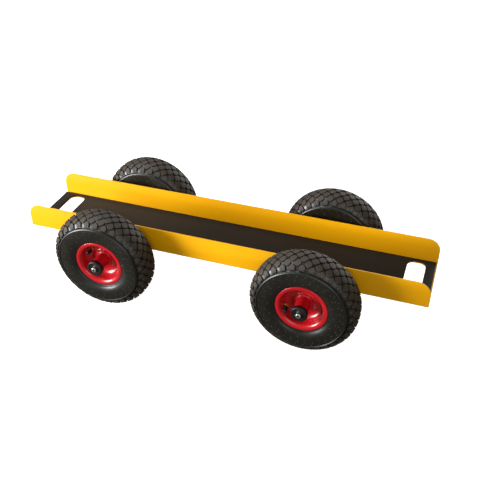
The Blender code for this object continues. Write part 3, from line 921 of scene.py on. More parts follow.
    @staticmethod
    def join(whole: BMesh, part: BMesh, place: Matrix) -> None:
        """Move one bmesh into another.

        Args:
            whole: The bmesh that grows.
            part: The bmesh that is used up.
            place: Where the part goes.
        """
        bmesh.ops.transform(part, matrix=place, verts=part.verts)
        carrier = bpy.data.meshes.new("carrier")
        part.to_mesh(carrier)
        part.free()
        whole.from_mesh(carrier)
        bpy.data.meshes.remove(carrier)

    def build(self) -> None:
        """Model and dress the axle and its two saddles."""
        self.build_axle()
        for end in ("front", "rear"):
            self.build_saddle(end)


# ---- Tyre -----------------------------------------------------------------------------------


@dataclass
class Tyre:
    """A pneumatic tyre with diamond blocks, shoulder lugs and ridged sidewalls.

    One pitch of the tread is laid out flat, with x round the tyre, y across it from the
    crown and z as height over the grooves' floor. It is then wrapped onto the section.
    """

    radius: float
    half_width: float
    pitches: int = 32
    row_spacing: float = 12.7 * MM
    lug_end: float = 46.0 * MM
    lug_gap: float = 8.0 * MM
    corner_cut: float = 0.23
    groove_depth: float = 3.4 * MM
    groove_floor: float = 1.9 * MM
    block_draft: float = 0.5 * MM
    block_round: float = 0.5 * MM
    round_drop: float = 0.35 * MM
    block_area: float = 100.0 * MM * MM
    cuts_round: int = 6
    cut_across: float = 4.8 * MM
    full_depth_end: float = 30.0 * MM
    foot_share: float = 0.9
    run_out: float = 2.4 * MM
    section_radius: float = 92.0 * MM
    squareness: float = 2.6
    lip_radius: float = 62.0 * MM
    lip_inner: float = 30.2 * MM
    lip_outer: float = 32.7 * MM
    seat_radius: float = 50.8 * MM
    bead_width: float = 9.0 * MM
    crown_wall: float = 8.0 * MM
    side_wall: float = 5.5 * MM
    clearance: float = 0.3 * MM
    heel_round: float = 4.0 * MM
    toe_rise: float = 2.0 * MM
    toe_cut: float = 1.5 * MM
    inside_angles: tuple[int, ...] = tuple(range(-28, 90, 8))
    rows_each_side: int = 3
    lug_start: float = 2.4
    ring_gap: float = 0.3 * MM
    # Painted groove shade: where it starts below the block tops, and over what depth it fades in
    shade_depth_start: float = 0.4 * MM
    shade_depth_fade: float = 1.8 * MM
    ridges: tuple[tuple[float, float, float, float], ...] = (
        (106.0 * MM, 6.4 * MM, 1.9 * MM, 4.6 * MM), (66.6 * MM, 2.4 * MM, 0.5 * MM, 0.8 * MM))
    ridge_flank: float = 1.0 * MM
    outside_angles: tuple[int, ...] = tuple(range(90, -39, -2))

    def oval(self, angle: float, half_width: float, crown: float) -> Point:
        """Return a point of the squared-off section, at an angle in degrees."""
        power = 2 / self.squareness
        turn = math.radians(angle)
        rise = math.copysign(abs(math.sin(turn)) ** power, angle)
        return (self.section_radius + (crown - self.section_radius) * rise,
                half_width * abs(math.cos(turn)) ** power)

    def half_section(self) -> list[Point]:
        """Return the section as (radius, y), from the crown round the bead and back inside."""
        outside = [self.oval(angle, self.half_width, self.radius) for angle in self.outside_angles]
        outside[0] = (self.radius, 0.0)
        gap = self.clearance
        inner = self.lip_inner - gap
        tuck = [(self.lip_radius + 2.4 * gap, self.lip_outer - gap), (self.lip_radius + 2 * gap, inner)]
        toe = self.seat_radius + gap
        heel = self.heel_round
        bead = arc((toe + heel, inner - heel), heel, 90, 180, 4)
        bead += [(toe, inner - self.bead_width),
                 (toe + self.toe_rise, inner - self.bead_width - self.toe_cut)]
        inner_crown = self.radius - self.crown_wall
        inner_half = self.half_width - self.side_wall
        inside = [self.oval(angle, inner_half, inner_crown) for angle in self.inside_angles]
        inside.append((inner_crown, 0.0))
        return outside + tuck + bead + inside

    def block_cells(self, bm: BMesh) -> None:
        """Lay out one pitch's diamonds, corner pits and shoulder lugs side by side."""
        half_pitch = math.pi * self.radius / self.pitches
        cells = 2 * self.rows_each_side + 1
        bmesh.ops.create_grid(bm, x_segments=cells, y_segments=cells, size=cells / 2)
        bmesh.ops.bevel(bm, geom=bm.verts[:], offset=self.corner_cut, offset_type="OFFSET", segments=1,
                        profile=0.5, affect="VERTICES", material=-1)
        slant = Matrix(((half_pitch, half_pitch, 0, 0), (-self.row_spacing, self.row_spacing, 0, 0),
                        (0, 0, 1, 0), (0, 0, 0, 1)))
        bmesh.ops.transform(bm, matrix=slant, verts=bm.verts)
        outside = []
        for face in bm.faces:
            centre = face.calc_center_median()
            row, column = round(centre.y / self.row_spacing), round(centre.x / half_pitch)
            if abs(row) > self.rows_each_side or column not in (0, 1):
                outside.append(face)
        bmesh.ops.delete(bm, geom=outside, context="FACES")
        for side in (-1, 1):
            self.lengthen_lug(bm, side)
            self.narrow_lug(bm, side, 2 * half_pitch)

    def lengthen_lug(self, bm: BMesh, side: int) -> None:
        """Cut the outermost row in half and draw its half out into lugs and gaps.

        Args:
            bm: The flat layout.
            side: 1 for the edge at high y, -1 for the other.
        """
        waist = side * self.rows_each_side * self.row_spacing
        bmesh.ops.bisect_plane(bm, geom=everything(bm), plane_co=(0, waist, 0), plane_no=(0, side, 0),
                               dist=CUT, clear_outer=True)
        edges = [edge for edge in bm.edges if all(abs(vert.co.y - waist) < NEAR for vert in edge.verts)]
        made = bmesh.ops.extrude_edge_only(bm, edges=edges)
        bmesh.ops.translate(bm, vec=(0, side * self.lug_end - waist, 0), verts=new_verts(made))
        longest = max(edges, key=lambda edge: edge.calc_length())
        bmesh.ops.dissolve_edges(bm, edges=[longest], use_verts=False)

    def narrow_lug(self, bm: BMesh, side: int, pitch: float) -> None:
        """Cut a lug's two sides off, for the gaps between it and its neighbours.

        Args:
            bm: The flat layout.
            side: 1 for the edge at high y, -1 for the other.
            pitch: The distance from one lug to the next.
        """
        for edge_x in (self.lug_gap / 2, pitch - self.lug_gap / 2):
            beyond = [face for face in bm.faces
                      if side * face.calc_center_median().y > self.lug_start * self.row_spacing]
            lug = max(beyond, key=lambda face: face.calc_area())
            bmesh.ops.bisect_plane(bm, geom=[lug, *lug.edges, *lug.verts], plane_co=(edge_x, 0, 0),
                                   plane_no=(1, 0, 0), dist=CUT)

    def raise_blocks(self, bm: BMesh) -> None:
        """Inset each block's cell for its half of the grooves, and raise it."""
        blocks = [face for face in bm.faces if face.calc_area() > self.block_area]
        steps = ((self.groove_floor / 2, 0.0), (self.block_draft, self.groove_depth - self.round_drop),
                 (self.block_round, self.round_drop))
        for thickness, depth in steps:
            bmesh.ops.inset_individual(bm, faces=blocks, thickness=thickness, depth=depth,
                                       use_even_offset=True)

    def cut_for_bending(self, bm: BMesh) -> None:
        """Slice the flat layout finely enough to bend smoothly."""
        pitch = 2 * math.pi * self.radius / self.pitches
        planes = [((index * pitch / self.cuts_round, 0, 0), (1, 0, 0))
                  for index in range(-self.cuts_round, 2 * self.cuts_round)]
        rows = int(self.lug_end / self.cut_across)
        planes += [((0, index * self.cut_across, 0), (0, 1, 0)) for index in range(-rows, rows + 1)]
        for centre, normal in planes:
            bmesh.ops.bisect_plane(bm, geom=everything(bm), plane_co=centre, plane_no=normal,
                                   dist=CUT)

    def ring_distances(self, section: Sequence[Point]) -> list[float]:
        """List the distances from the crown at which the plain sides get a ring.

        Args:
            section: The half section.

        Returns:
            The distances beyond the lugs, in order, ridges included.
        """
        rings = [length for length in self.lengths(section) if length > self.lug_end + MM]
        for middle, width, _, lead in self.laid_ridges(section):
            half = width / 2
            rings = [length for length in rings if abs(length - middle) > half + self.ring_gap]
            rings += [middle - half, middle - half + lead / 2, middle - half + lead,
                      middle + half - self.ridge_flank, middle + half]
        return sorted(rings)

    def laid_ridges(self, section: Sequence[Point]) -> list[tuple[float, float, float, float]]:
        """Return each ridge's distance from the crown, width, height and outer flank."""
        lengths = self.lengths(section)
        found = []
        for radius, width, height, lead in self.ridges:
            near = min(range(len(self.outside_angles)), key=lambda index: abs(section[index][0] - radius))
            found.append((lengths[near], width, height, lead))
        return found

    @staticmethod
    def lengths(section: Sequence[Point]) -> list[float]:
        """Return each section point's distance from the first, along the section."""
        total = [0.0]
        for first, second in zip(section, section[1:]):
            total.append(total[-1] + math.dist(first, second))
        return total

    def draw_sides(self, bm: BMesh, section: Sequence[Point]) -> None:
        """Draw the plain sides out from the lugs' feet, one ring after another.

        Args:
            bm: The flat layout.
            section: The half section.
        """
        for side in (-1, 1):
            foot = side * self.lug_end
            edges = [edge for edge in bm.edges if edge.is_boundary
                     and all(abs(vert.co.y - foot) < NEAR for vert in edge.verts)]
            for distance in self.ring_distances(section):
                made = bmesh.ops.extrude_edge_only(bm, edges=edges)
                verts = new_verts(made)
                for vert in verts:
                    vert.co.y = side * distance
                edges = [item for item in made["geom"] if isinstance(item, BMEdge)
                         and all(vert in verts for vert in item.verts)]

    def depth_share(self, distance: float) -> float:
        """Return how much of the groove depth is left at a distance from the crown."""
        if distance <= self.full_depth_end:
            return 1.0
        if distance <= self.lug_end:
            along = (distance - self.full_depth_end) / (self.lug_end - self.full_depth_end)
            return 1.0 - (1.0 - self.foot_share) * along
        return max(0.0, self.foot_share * (1 - (distance - self.lug_end) / self.run_out))

    def ridge_rise(self, distance: float, laid: Sequence[tuple[float, float, float, float]]) -> float:
        """Return how far the ridges raise the sidewall at a distance from the crown."""
        rise = 0.0
        for middle, width, height, lead in laid:
            climb = (distance - middle + width / 2) / lead
            fall = (middle + width / 2 - distance) / self.ridge_flank
            rise += height * min(1.0, max(0.0, min(climb, fall)))
        return rise

    def wrap(self, bm: BMesh, section: Sequence[Point]) -> None:
        """Wrap the flat layout onto the tyre's section, keeping a map of the flat state.

        Args:
            bm: The flat layout.
            section: The half section.
        """
        lengths = self.lengths(section)
        laid = self.laid_ridges(section)
        section_map = bm.loops.layers.uv.new("section")
        depth_map = bm.verts.layers.float.new("depth")
        top = self.groove_depth
        for face in bm.faces:
            for loop in face.loops:
                loop[section_map].uv = (loop.vert.co.x, loop.vert.co.y)
        for vert in bm.verts:
            across = abs(vert.co.y)
            share = self.depth_share(across)
            below = (top - vert.co.z) * share
            # The depth attribute carries the painted shade of the grooves
            vert[depth_map] = min(1.0, max(0.0, (below - self.shade_depth_start) / self.shade_depth_fade))
            height = self.ridge_rise(across, laid) - below
            index = max(1, min(len(lengths) - 1, sum(1 for length in lengths if length < across)))
            span = lengths[index] - lengths[index - 1]
            share = (across - lengths[index - 1]) / span
            (r0, y0), (r1, y1) = section[index - 1], section[index]
            tangent = Vector((r1 - r0, y1 - y0)).normalized()
            radius = r0 + (r1 - r0) * share + height * tangent.y
            side = y0 + (y1 - y0) * share - height * tangent.x
            turn = vert.co.x / self.radius
            sign = math.copysign(1.0, vert.co.y)
            vert.co = (radius * math.cos(turn), sign * side, radius * math.sin(turn))

    def shape(self) -> BMesh:
        """Model the whole tyre.

        Returns:
            Its bmesh, centred on the origin with its axle along Y.
        """
        section = self.half_section()
        bm = bmesh.new()
        self.block_cells(bm)
        self.raise_blocks(bm)
        self.cut_for_bending(bm)
        self.draw_sides(bm, section)
        self.wrap(bm, section)
        copies = self.pitches - 1
        bmesh.ops.spin(bm, geom=everything(bm), cent=(0, 0, 0), axis=(0, 1, 0), dvec=(0, 0, 0),
                       angle=2 * math.pi * copies / self.pitches, steps=copies, use_duplicate=True)
        bmesh.ops.remove_doubles(bm, verts=bm.verts, dist=NEAR)
        bmesh.ops.recalc_face_normals(bm, faces=bm.faces)
        return bm


@dataclass
class VentPips:
    """The small rubber pips that the mould's vents leave on a sidewall."""

    tyre: Tyre
    rings: tuple[tuple[float, int, float], ...] = (
        (116.5 * MM, 32, 0.5), (99.0 * MM, 32, 0.0), (91.5 * MM, 32, 0.3), (86.0 * MM, 16, 0.65),
        (76.0 * MM, 16, 0.1))
    radius: float = 0.85 * MM
    height: float = 1.1 * MM
    sides: int = 6
    taper: float = 0.6
    tilt_share: float = 0.5

    def shape(self) -> BMesh:
        """Model every pip of both sidewalls.

        Returns:
            Their bmesh, in the tyre's own place.
        """
        section = self.tyre.half_section()[:len(self.tyre.outside_angles)]
        bm = bmesh.new()
        for ring_radius, count, offset in self.rings:
            index = min(range(1, len(section) - 1), key=lambda item: abs(section[item][0] - ring_radius))
            (r0, y0), (r1, y1) = section[index - 1], section[index + 1]
            lean = math.atan2(r0 - r1, y1 - y0)
            for side in (-1, 1):
                for step in range(count):
                    turn = Matrix.Rotation(2 * math.pi * (step + offset) / count, 4, "Y")
                    out = Matrix.Rotation(-side * math.pi / 2, 4, "X")
                    tilt = Matrix.Rotation(side * (math.pi / 2 - abs(lean)) * self.tilt_share, 4, "Z")
                    spot = Matrix.Translation((section[index][0], side * section[index][1], 0))
                    bmesh.ops.create_cone(bm, cap_ends=True, segments=self.sides, radius1=self.radius,
                                          radius2=self.taper * self.radius, depth=2 * self.height,
                                          matrix=turn @ spot @ tilt @ out)
        return bm


# ---- Rim, hub and valve ------------------------------------------------------------------------


@dataclass
class Rim:
    """One pressed rim half, with its rolled lip and the weld round the hub tube."""

    half_width: float = 32.7 * MM
    sheet: float = 2.5 * MM
    seat_radius: float = 50.8 * MM
    lip_radius: float = 62.0 * MM
    lip_bend: float = 8.0 * MM
    dish_radius: float = 16.0 * MM
    hub_radius: float = 17.5 * MM
    step_radius: float = 26.0 * MM
    step_height: float = 1.2 * MM
    step_round: float = 1.5 * MM
    back: float = 0.15 * MM
    steps: int = 96
    weld_radius: float = 3.0 * MM
    weld_out: float = 0.5 * MM
    weld_up: float = 0.3 * MM
    weld_steps: int = 120
    weld_wave: float = 0.014
    weld_ripples: int = 34
    weld_level: float = 0.1 * MM

    def profile(self) -> list[Point]:
        """Return the half's section as (radius, y) points."""
        face = self.back + self.sheet
        wall = self.seat_radius - self.sheet
        dish = (wall - self.dish_radius, face + self.dish_radius)
        roll = (self.seat_radius + self.lip_bend, self.half_width - self.sheet - self.lip_bend)
        edge = (self.lip_radius - self.sheet / 2, self.half_width - self.sheet / 2)
        section = [(self.hub_radius, face + self.step_height)]
        turn = self.step_round
        section += arc((self.step_radius - turn, face + self.step_height - turn), turn, 90, 35, 4)
        section += arc(dish, self.dish_radius, -86, 0, 16)
        section += arc(roll, self.lip_bend + self.sheet, 180, 90, 14)
        section += arc(edge, self.sheet / 2, 90, -90, 8)
        section += arc(roll, self.lip_bend, 90, 180, 8)
        section += arc(dish, self.dish_radius + self.sheet, 0, -90, 10)
        section.append((self.hub_radius, self.back))
        return section

    def shape(self, outer: bool) -> BMesh:
        """Model a rim half.

        Args:
            outer: True for the half away from the channel.

        Returns:
            Its bmesh.
        """
        return turned(self.profile() if outer else flipped(self.profile()), self.steps)

    def weld(self, side: int) -> BMesh:
        """Model the rippled weld between a rim half and the hub tube.

        Args:
            side: 1 for the outer half, -1 for the inner.

        Returns:
            Its bmesh.
        """
        face = self.back + self.sheet + self.step_height
        centre = (self.hub_radius + self.weld_out, face + self.weld_up)
        section = arc(centre, self.weld_radius, -20, 110, 8) + [(self.hub_radius - MM, face - MM)]
        bm = turned(section, self.weld_steps)
        for vert in bm.verts:
            angle = math.atan2(vert.co.z, vert.co.x)
            on_top = vert.co.y > face + self.weld_level
            wave = 1 + self.weld_wave * math.sin(angle * self.weld_ripples) * on_top
            vert.co.x *= wave
            vert.co.z *= wave
            vert.co.y *= side
        bmesh.ops.recalc_face_normals(bm, faces=bm.faces)
        return bm


@dataclass
class Hub:
    """The hub tube, its stop collar, its cap and the cap's screw."""

    half_length: float = 41.5 * MM
    radius: float = 17.5 * MM
    bore: float = 13.8 * MM
    chamfer: float = 0.8 * MM
    collar_inner: float = 10.3 * MM
    collar_radius: float = 15.0 * MM
    collar_gap: float = 0.5 * MM
    collar_length: float = 6.0 * MM
    cap_inner: float = 42.1 * MM
    cap_outer: float = 53.2 * MM
    cap_radius: float = 20.0 * MM
    cap_round: float = 3.0 * MM
    cap_recess: float = 0.8 * MM
    screw_seat: float = 52.7 * MM
    screw_length: float = 28.0 * MM
    screw_radius: float = 4.0 * MM
    head_radius: float = 6.3 * MM
    head_height: float = 6.0 * MM
    head_round: float = 1.6 * MM
    socket_radius: float = 2.8 * MM
    socket_depth: float = 2.5 * MM
    socket_land: float = 0.5 * MM
    steps: int = 64
    cap_steps: int = 96
    cap_edge: float = 1.2 * MM
    cap_land: float = 5.0 * MM
    cap_dish: float = 0.5 * MM
    screw_gap: float = 0.3 * MM
    head_gap: float = 1.3 * MM
    recess_round: float = 0.3 * MM
    screw_steps: int = 36
    screw_tip: float = 0.8 * MM
    head_edge: float = 0.3 * MM

    def tube(self) -> BMesh:
        """Turn the hub tube, with chamfered ends."""
        half = [(self.bore, self.half_length), (self.radius - self.chamfer, self.half_length),
                (self.radius, self.half_length - self.chamfer)]
        return turned(half + flipped(half), self.steps)

    def collar(self) -> BMesh:
        """Turn the stop collar, with chamfered ends."""
        high = -self.half_length - self.collar_gap
        low = high - self.collar_length
        edge = self.chamfer
        return turned([(self.collar_inner, low), (self.collar_radius - edge, low),
                       (self.collar_radius, low + edge), (self.collar_radius, high - edge),
                       (self.collar_radius - edge, high), (self.collar_inner, high)], self.steps)

    def cap(self) -> BMesh:
        """Turn the hub cap: a rounded disc, slightly dished, with a recess for its screw."""
        hole = self.screw_radius + self.screw_gap
        recess = self.head_radius + self.head_gap
        floor = self.cap_outer - self.cap_recess
        rim = (self.cap_radius - self.cap_round, self.cap_outer - self.cap_round)
        section = [(hole, self.cap_inner), (self.cap_radius - self.cap_edge, self.cap_inner),
                   (self.cap_radius, self.cap_inner + self.cap_edge)]
        section += arc(rim, self.cap_round, 0, 90, 8)
        section.append((self.cap_radius - self.cap_land, self.cap_outer - self.cap_dish))
        section += arc((recess + self.recess_round, floor), self.recess_round, 90, 180, 3)
        section += [(recess, floor), (hole, floor)]
        return turned(section, self.cap_steps)

    def screw(self) -> BMesh:
        """Model the cap's screw with its hexagon socket.

        Returns:
            Its bmesh, in the wheel's own place.
        """
        seat, top = self.screw_seat, self.screw_seat + self.head_height
        end = seat - self.screw_length
        crown = (self.head_radius - self.head_round, top - self.head_round)
        section = [(0.0, end), (self.screw_radius - self.screw_tip, end),
                   (self.screw_radius, end + self.screw_tip), (self.screw_radius, seat),
                   (self.head_radius - self.head_edge, seat), (self.head_radius, seat + self.head_edge)]
        section += arc(crown, self.head_round, 0, 90, 6)
        section.append((self.socket_radius + self.socket_land, top))
        bm = turned(section, self.screw_steps, closed=False)
        open_edge = [edge for edge in bm.edges if edge.is_boundary]
        hexagon = bmesh.ops.create_circle(bm, segments=6, radius=self.socket_radius)["verts"]
        bmesh.ops.subdivide_edges(bm, edges=list({edge for vert in hexagon for edge in vert.link_edges}),
                                  cuts=self.screw_steps // 6 - 1)
        ring = [edge for edge in bm.edges if not edge.link_faces]
        upright = Matrix.Translation((0, top, 0)) @ Matrix.Rotation(math.pi / 2, 4, "X")
        bmesh.ops.transform(bm, matrix=upright, verts=list({vert for edge in ring for vert in edge.verts}))
        bmesh.ops.bridge_loops(bm, edges=open_edge + ring)
        made = bmesh.ops.extrude_edge_only(bm, edges=ring)
        bmesh.ops.translate(bm, vec=(0, -self.socket_depth, 0), verts=new_verts(made))
        floor = [item for item in made["geom"] if isinstance(item, BMEdge) and item.is_boundary]
        bmesh.ops.contextual_create(bm, geom=floor)
        bmesh.ops.recalc_face_normals(bm, faces=bm.faces)
        return bm


@dataclass
class Valve:
    """The bent brass valve stem, its base nut and its plastic cap."""

    radius: float = 38.5 * MM
    offset: float = 11.0 * MM
    bend: float = 4.5 * MM
    stem: float = 2.7 * MM
    root: float = 57.0 * MM
    reach: float = 37.5 * MM
    nut_radius: float = 4.2 * MM
    nut_height: float = 2.6 * MM
    nut_place: float = 43.2 * MM
    cap_radius: float = 4.5 * MM
    cap_low: float = 22.3 * MM
    cap_high: float = 39.3 * MM
    ribs: int = 12
    rib_depth: float = 0.05
    rib_gap: float = -0.5
    rib_skin: float = 0.4 * MM
    rib_end: float = 2.0 * MM
    cap_gap: float = 0.3 * MM
    cap_clearance: float = 0.4 * MM
    cap_edge: float = 0.3 * MM
    cap_shoulder: float = 2.2 * MM
    cap_round: float = 1.6 * MM
    thread_pitch: float = 0.9 * MM
    thread_waist: float = 0.9
    stem_sides: int = 24
    bend_steps: int = 10
    nut_taper: float = 0.92
    nut_edge: float = 0.35 * MM

    def stem_shape(self) -> BMesh:
        """Model the stem: drawn in from the tube, bent, and drawn out to its end.

        Returns:
            Its bmesh, with its base nut and the thread's crests.
        """
        bm = bmesh.new()
        start = Matrix.Translation((self.root, self.offset, 0)) @ Matrix.Rotation(math.pi / 2, 4, "Y")
        bmesh.ops.create_circle(bm, cap_ends=True, segments=self.stem_sides, radius=self.stem, matrix=start)
        tip = self.carry(bm, bm.faces[:], (self.radius + self.bend - self.root, 0, 0))
        made = bmesh.ops.spin(bm, geom=tip, cent=(self.radius + self.bend, self.offset + self.bend, 0),
                              axis=(0, 0, 1), dvec=(0, 0, 0), angle=-math.pi / 2, steps=self.bend_steps)
        tip = [item for item in made["geom_last"] if isinstance(item, BMFace)]
        run = self.reach - self.offset - self.bend
        crests = int(run / self.thread_pitch)
        for _ in range(crests):
            tip = self.carry(bm, tip, (0, run / crests / 2, 0), self.thread_waist)
            tip = self.carry(bm, tip, (0, run / crests / 2, 0), 1 / self.thread_waist)
        nut = bmesh.ops.create_cone(bm, cap_ends=True, segments=6, radius1=self.nut_radius,
                                    radius2=self.nut_taper * self.nut_radius, depth=self.nut_height,
                                    matrix=Matrix.Translation((self.nut_place, self.offset, 0))
                                    @ Matrix.Rotation(-math.pi / 2, 4, "Y"))
        edges = list({edge for vert in nut["verts"] for edge in vert.link_edges})
        bmesh.ops.bevel(bm, geom=edges, offset=self.nut_edge, offset_type="OFFSET", segments=2,
                        profile=0.5, affect="EDGES", material=-1)
        bmesh.ops.recalc_face_normals(bm, faces=bm.faces)
        return bm

    @staticmethod
    def carry(bm: BMesh, faces: list[BMFace], move: Sequence[float], grow: float = 1.0) -> list[BMFace]:
        """Extrude a face along a move, and grow or shrink its end.

        Args:
            bm: The bmesh.
            faces: The end face, in a list.
            move: How far it goes.
            grow: How much wider its end gets.

        Returns:
            The new end face, in a list.
        """
        made = bmesh.ops.extrude_face_region(bm, geom=faces)
        verts = new_verts(made)
        bmesh.ops.translate(bm, vec=move, verts=verts)
        centre = sum((vert.co for vert in verts), Vector()) / len(verts)
        bmesh.ops.scale(bm, vec=(grow, 1, grow) if abs(move[1]) > 0 else (1, grow, grow), verts=verts,
                        space=Matrix.Translation(-centre))
        bmesh.ops.delete(bm, geom=faces, context="FACES_ONLY")
        return [item for item in made["geom"] if isinstance(item, BMFace)]

    def cap_shape(self) -> BMesh:
        """Model the cap: a ribbed cup with a rounded top.

        Returns:
            Its bmesh.
        """
        low, high = self.cap_low, self.cap_high
        bore, roof, turn = self.stem + self.cap_clearance, self.reach + self.cap_gap, self.cap_round
        section = [(0.0, roof), (bore, roof), (bore, low), (self.cap_radius - self.cap_edge, low),
                   (self.cap_radius, low + self.cap_edge), (self.cap_radius, high - self.cap_shoulder)]
        section += arc((self.cap_radius - turn, high - turn), turn, 0, 90, 6)
        section.append((0.0, high))
        bm = turned(section, 4 * self.ribs, closed=False)
        for vert in bm.verts:
            distance = math.hypot(vert.co.x, vert.co.z)
            if distance > self.cap_radius - self.rib_skin and vert.co.y < high - self.rib_end:
                angle = math.atan2(vert.co.z, vert.co.x)
                shrink = 1 - self.rib_depth * (math.cos(angle * self.ribs) < self.rib_gap)
                vert.co.x *= shrink
                vert.co.z *= shrink
        bmesh.ops.translate(bm, vec=(self.radius, 0, 0), verts=bm.verts)
        return bm


@dataclass
class Wheel:
    """One complete wheel, in its own frame: axle along Y, +Y away from the channel."""

    palette: Palette
    name: str
    valve_turn: float
    rim: Rim = field(default_factory=Rim)
    hub: Hub = field(default_factory=Hub)
    valve: Valve = field(default_factory=Valve)

    @property
    def body(self) -> str:
        """The CAD body that the wheel turns with."""
        return "wheel_" + self.name

    def place(self) -> Matrix:
        """Return the wheel's place: its joint's, turned so that +Y faces outwards."""
        joint = next(item for item in frame["record"]["behaviour"]["joints"]
                     if item["name"] == "wheel_spin_" + self.name)
        centre = Vector(joint["pos_m"])
        facing = Matrix.Rotation(math.pi if centre.y < 0 else 0.0, 4, "Z")
        return Matrix.Translation(centre) @ facing @ Matrix.Rotation(math.radians(self.valve_turn), 4, "Y")

    def add(self, bm: BMesh, piece: str, finish: str, shading: Shading, node: str | None = None,
            body: str | None = None, slot: str | None = None) -> None:
        """Finish a piece of the wheel and tie it to the frame.

        Args:
            bm: Its shape in the wheel's own frame.
            piece: Its name, without the wheel's.
            finish: The name of its finish.
            shading: How smooth it looks.
            node: The CAD node that it stands for, without the wheel's name.
            body: The CAD body that it rides on, if not the wheel's own.
            slot: The record's slot, if it isn't named as the finish.
        """
        made = finished(bm, piece + "_" + self.name, self.palette[finish], shading, self.place())
        nodes = [node + "_" + self.name] if node else []
        fit(made, body or self.body, slot or finish, *nodes)

    def build_tyre(self) -> None:
        """Model the tyre and the pips on its sidewalls."""
        low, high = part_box("tyre_" + self.name)
        tyre = Tyre(radius=(high.z - low.z) / 2, half_width=(high.y - low.y) / 2)
        self.add(tyre.shape(), "treaded_tyre", "tyre_rubber", Shading.BLOCKS, "tyre")
        self.add(VentPips(tyre).shape(), "vent_pips", "pip_rubber", Shading.ROUND, slot="tyre_rubber")

    def build_rim(self) -> None:
        """Model both rim halves and their welds to the hub tube."""
        self.add(self.rim.shape(outer=True), "rim_half_outer", "red_coat", Shading.ROUND, "rim_outer")
        self.add(self.rim.shape(outer=False), "rim_half_inner", "red_coat", Shading.ROUND, "rim_inner")
        self.add(self.rim.weld(1), "hub_weld_outer", "red_coat", Shading.ROUND)
        self.add(self.rim.weld(-1), "hub_weld_inner", "red_coat", Shading.ROUND)

    def build_hub(self) -> None:
        """Model the hub tube and what is fixed to the axle beside it."""
        hub = self.hub
        self.add(hub.tube(), "turned_hub", "red_coat", Shading.PLATE, "hub_tube")
        self.add(hub.collar(), "axle_collar", "bright_steel", Shading.PLATE, "stop_collar", CHASSIS)
        self.add(hub.cap(), "dished_cap", "black_plastic", Shading.ROUND, "hub_cap", CHASSIS)
        self.add(hub.screw(), "button_screw", "zinc_steel", Shading.PLATE, "cap_screw", CHASSIS)

    def build_valve(self) -> None:
        """Model the valve stem and its cap."""
        self.add(self.valve.stem_shape(), "bent_stem", "brass", Shading.PLATE, "valve_stem")
        self.add(self.valve.cap_shape(), "ribbed_cap", "black_plastic", Shading.PLATE, "valve_cap")

    def dress_inside(self) -> None:
        """Give the CAD nodes inside the wheel their finishes."""
        inside = {"inner_tube": "tube_rubber", "roller_cage": "bright_steel",
                  "seal_outer": "seal_plastic", "seal_inner": "seal_plastic"}
        for node, finish in inside.items():
            piece = frame["nodes"][node + "_" + self.name]
            piece.data.materials.clear()
            piece.data.materials.append(self.palette[finish])

    def build(self) -> None:
        """Model and dress the whole wheel."""
        self.build_tyre()
        self.build_rim()
        self.build_hub()
        self.build_valve()
        self.dress_inside()


# ---- Floor, light and camera ----------------------------------------------------------------


@dataclass(frozen=True)
class Lamp:
    """A square soft light: its place, the point it faces, its side and its power in watts."""

    name: str
    place: tuple[float, float, float]
    aim: tuple[float, float, float]
    size: float
    power: float


LAMPS = (
    Lamp("window", (-2.9, -2.1, 0.8), (0.0, -0.1, 0.13), 1.55, 250.0),
    Lamp("ceiling", (-1.2, 0.2, 2.0), (-0.3, 0.0, 0.1), 1.4, 30.0),
    Lamp("fill", (1.6, -2.8, 1.5), (0.25, -0.1, 0.15), 2.2, 32.0),
    Lamp("back_fill", (0.9, 3.0, 0.9), (0.0, 0.1, 0.15), 2.2, 75.0),
)


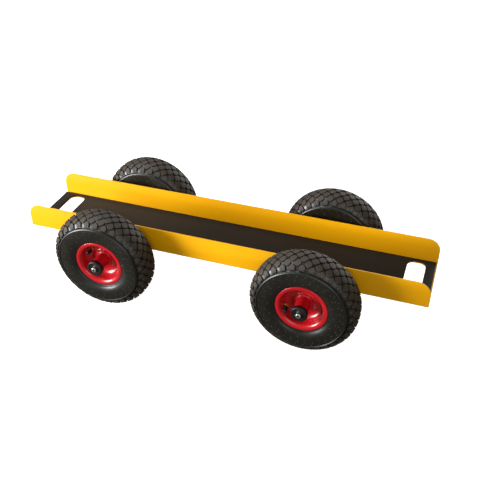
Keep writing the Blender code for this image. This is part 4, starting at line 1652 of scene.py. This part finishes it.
@dataclass
class Studio:
    """A pale floor, soft light that comes mostly from a low window at the left, and the camera."""

    target: tuple[float, float, float] = (0.0219, 0.0391, 0.130)
    distance: float = 1.797
    azimuth: float = 20.056
    elevation: float = 35.234
    roll: float = -0.65
    lens: float = 52.17
    sensor: float = 36.0
    floor_roughness: float = 0.9
    floor_half: float = 12.0
    floor_colour: Colour = (0.85, 0.85, 0.85)
    floor_bounce: Colour = (0.16, 0.14, 0.12)
    floor_glow: float = 0.82
    air_colour: Colour = (1.0, 0.92, 0.8)
    air_strength: float = 0.3
    backdrop_strength: float = 1.0

    def camera(self) -> None:
        """Make the camera, aimed at the trolley from the front right and above."""
        turn, lift = math.radians(self.azimuth), math.radians(self.elevation)
        back = Vector((math.sin(turn) * math.cos(lift), -math.cos(turn) * math.cos(lift), math.sin(lift)))
        data = bpy.data.cameras.new("camera")
        data.lens = self.lens
        data.sensor_width = self.sensor
        camera = bpy.data.objects.new("camera", data)
        camera.rotation_mode = "QUATERNION"
        look = (-back).to_track_quat("-Z", "Y")
        camera.rotation_quaternion = look @ Matrix.Rotation(math.radians(self.roll), 4, "Z").to_quaternion()
        camera.location = Vector(self.target) + back * self.distance
        bpy.context.scene.collection.objects.link(camera)
        bpy.context.scene.camera = camera

    def floor(self) -> None:
        """Lay a plain pale floor."""
        bm = bmesh.new()
        bmesh.ops.create_grid(bm, x_segments=1, y_segments=1, size=self.floor_half)
        material = bpy.data.materials.new("pale_floor")
        material.use_nodes = True
        graph = Graph(material.node_tree)
        shader = material.node_tree.nodes["Principled BSDF"]
        shader.inputs["Roughness"].default_value = self.floor_roughness
        shader.inputs["Specular IOR Level"].default_value = 0.0
        shader.inputs["Emission Strength"].default_value = self.floor_glow
        seen = graph.node("LightPath").outputs["Is Camera Ray"]
        surface = graph.mix(seen, (*self.floor_bounce, 1.0), (*self.floor_colour, 1.0))
        glow = graph.mix(seen, (0.0, 0.0, 0.0, 1.0), (1.0, 1.0, 1.0, 1.0))
        graph.feed(shader.inputs["Base Color"], surface)
        graph.feed(shader.inputs["Emission Color"], glow)
        finished(bm, "floor", material, Shading.PLATE)

    @staticmethod
    def hang(lamp: Lamp) -> None:
        """Hang a lamp, turned to the point that it faces."""
        data = bpy.data.lights.new(lamp.name, "AREA")
        data.size = lamp.size
        data.energy = lamp.power
        hung = bpy.data.objects.new(lamp.name, data)
        hung.location = lamp.place
        hung.rotation_mode = "QUATERNION"
        hung.rotation_quaternion = (Vector(lamp.aim) - Vector(lamp.place)).to_track_quat("-Z", "Y")
        bpy.context.scene.collection.objects.link(hung)

    def light(self) -> None:
        """Set the world's even light and the lamps."""
        world = bpy.data.worlds.new("studio_air")
        world.use_nodes = True
        graph = Graph(world.node_tree)
        air = world.node_tree.nodes["Background"]
        air.inputs["Color"].default_value = (*self.air_colour, 1.0)
        air.inputs["Strength"].default_value = self.air_strength
        backdrop = graph.node("Background", Color=(1.0, 1.0, 1.0, 1.0), Strength=self.backdrop_strength)
        seen = graph.node("LightPath").outputs["Is Camera Ray"]
        blend = graph.node("MixShader")
        for index, source in enumerate((seen, air.outputs[0], backdrop.outputs[0])):
            graph.feed(blend.inputs[index], source)
        graph.feed(world.node_tree.nodes["World Output"].inputs["Surface"], blend.outputs[0])
        bpy.context.scene.world = world
        for lamp in LAMPS:
            self.hang(lamp)

    def build(self) -> None:
        """Set up everything that isn't the trolley."""
        self.camera()
        self.floor()
        self.light()
        bpy.context.scene.view_settings.view_transform = "Standard"


def main() -> None:
    """Build the trolley's looks and the studio round it."""
    logging.basicConfig(level=logging.INFO, format="%(message)s")
    palette = Palette()
    studio = Studio()
    studio.build()
    channel = Channel(palette, HandSlots())
    channel.build()
    Mat(palette, channel).build()
    for side in ("left", "right"):
        AxleSet(palette, side).build()
    for name, turn in WHEEL_TURNS.items():
        Wheel(palette, name, turn).build()


if __name__ == "__main__":
    main()
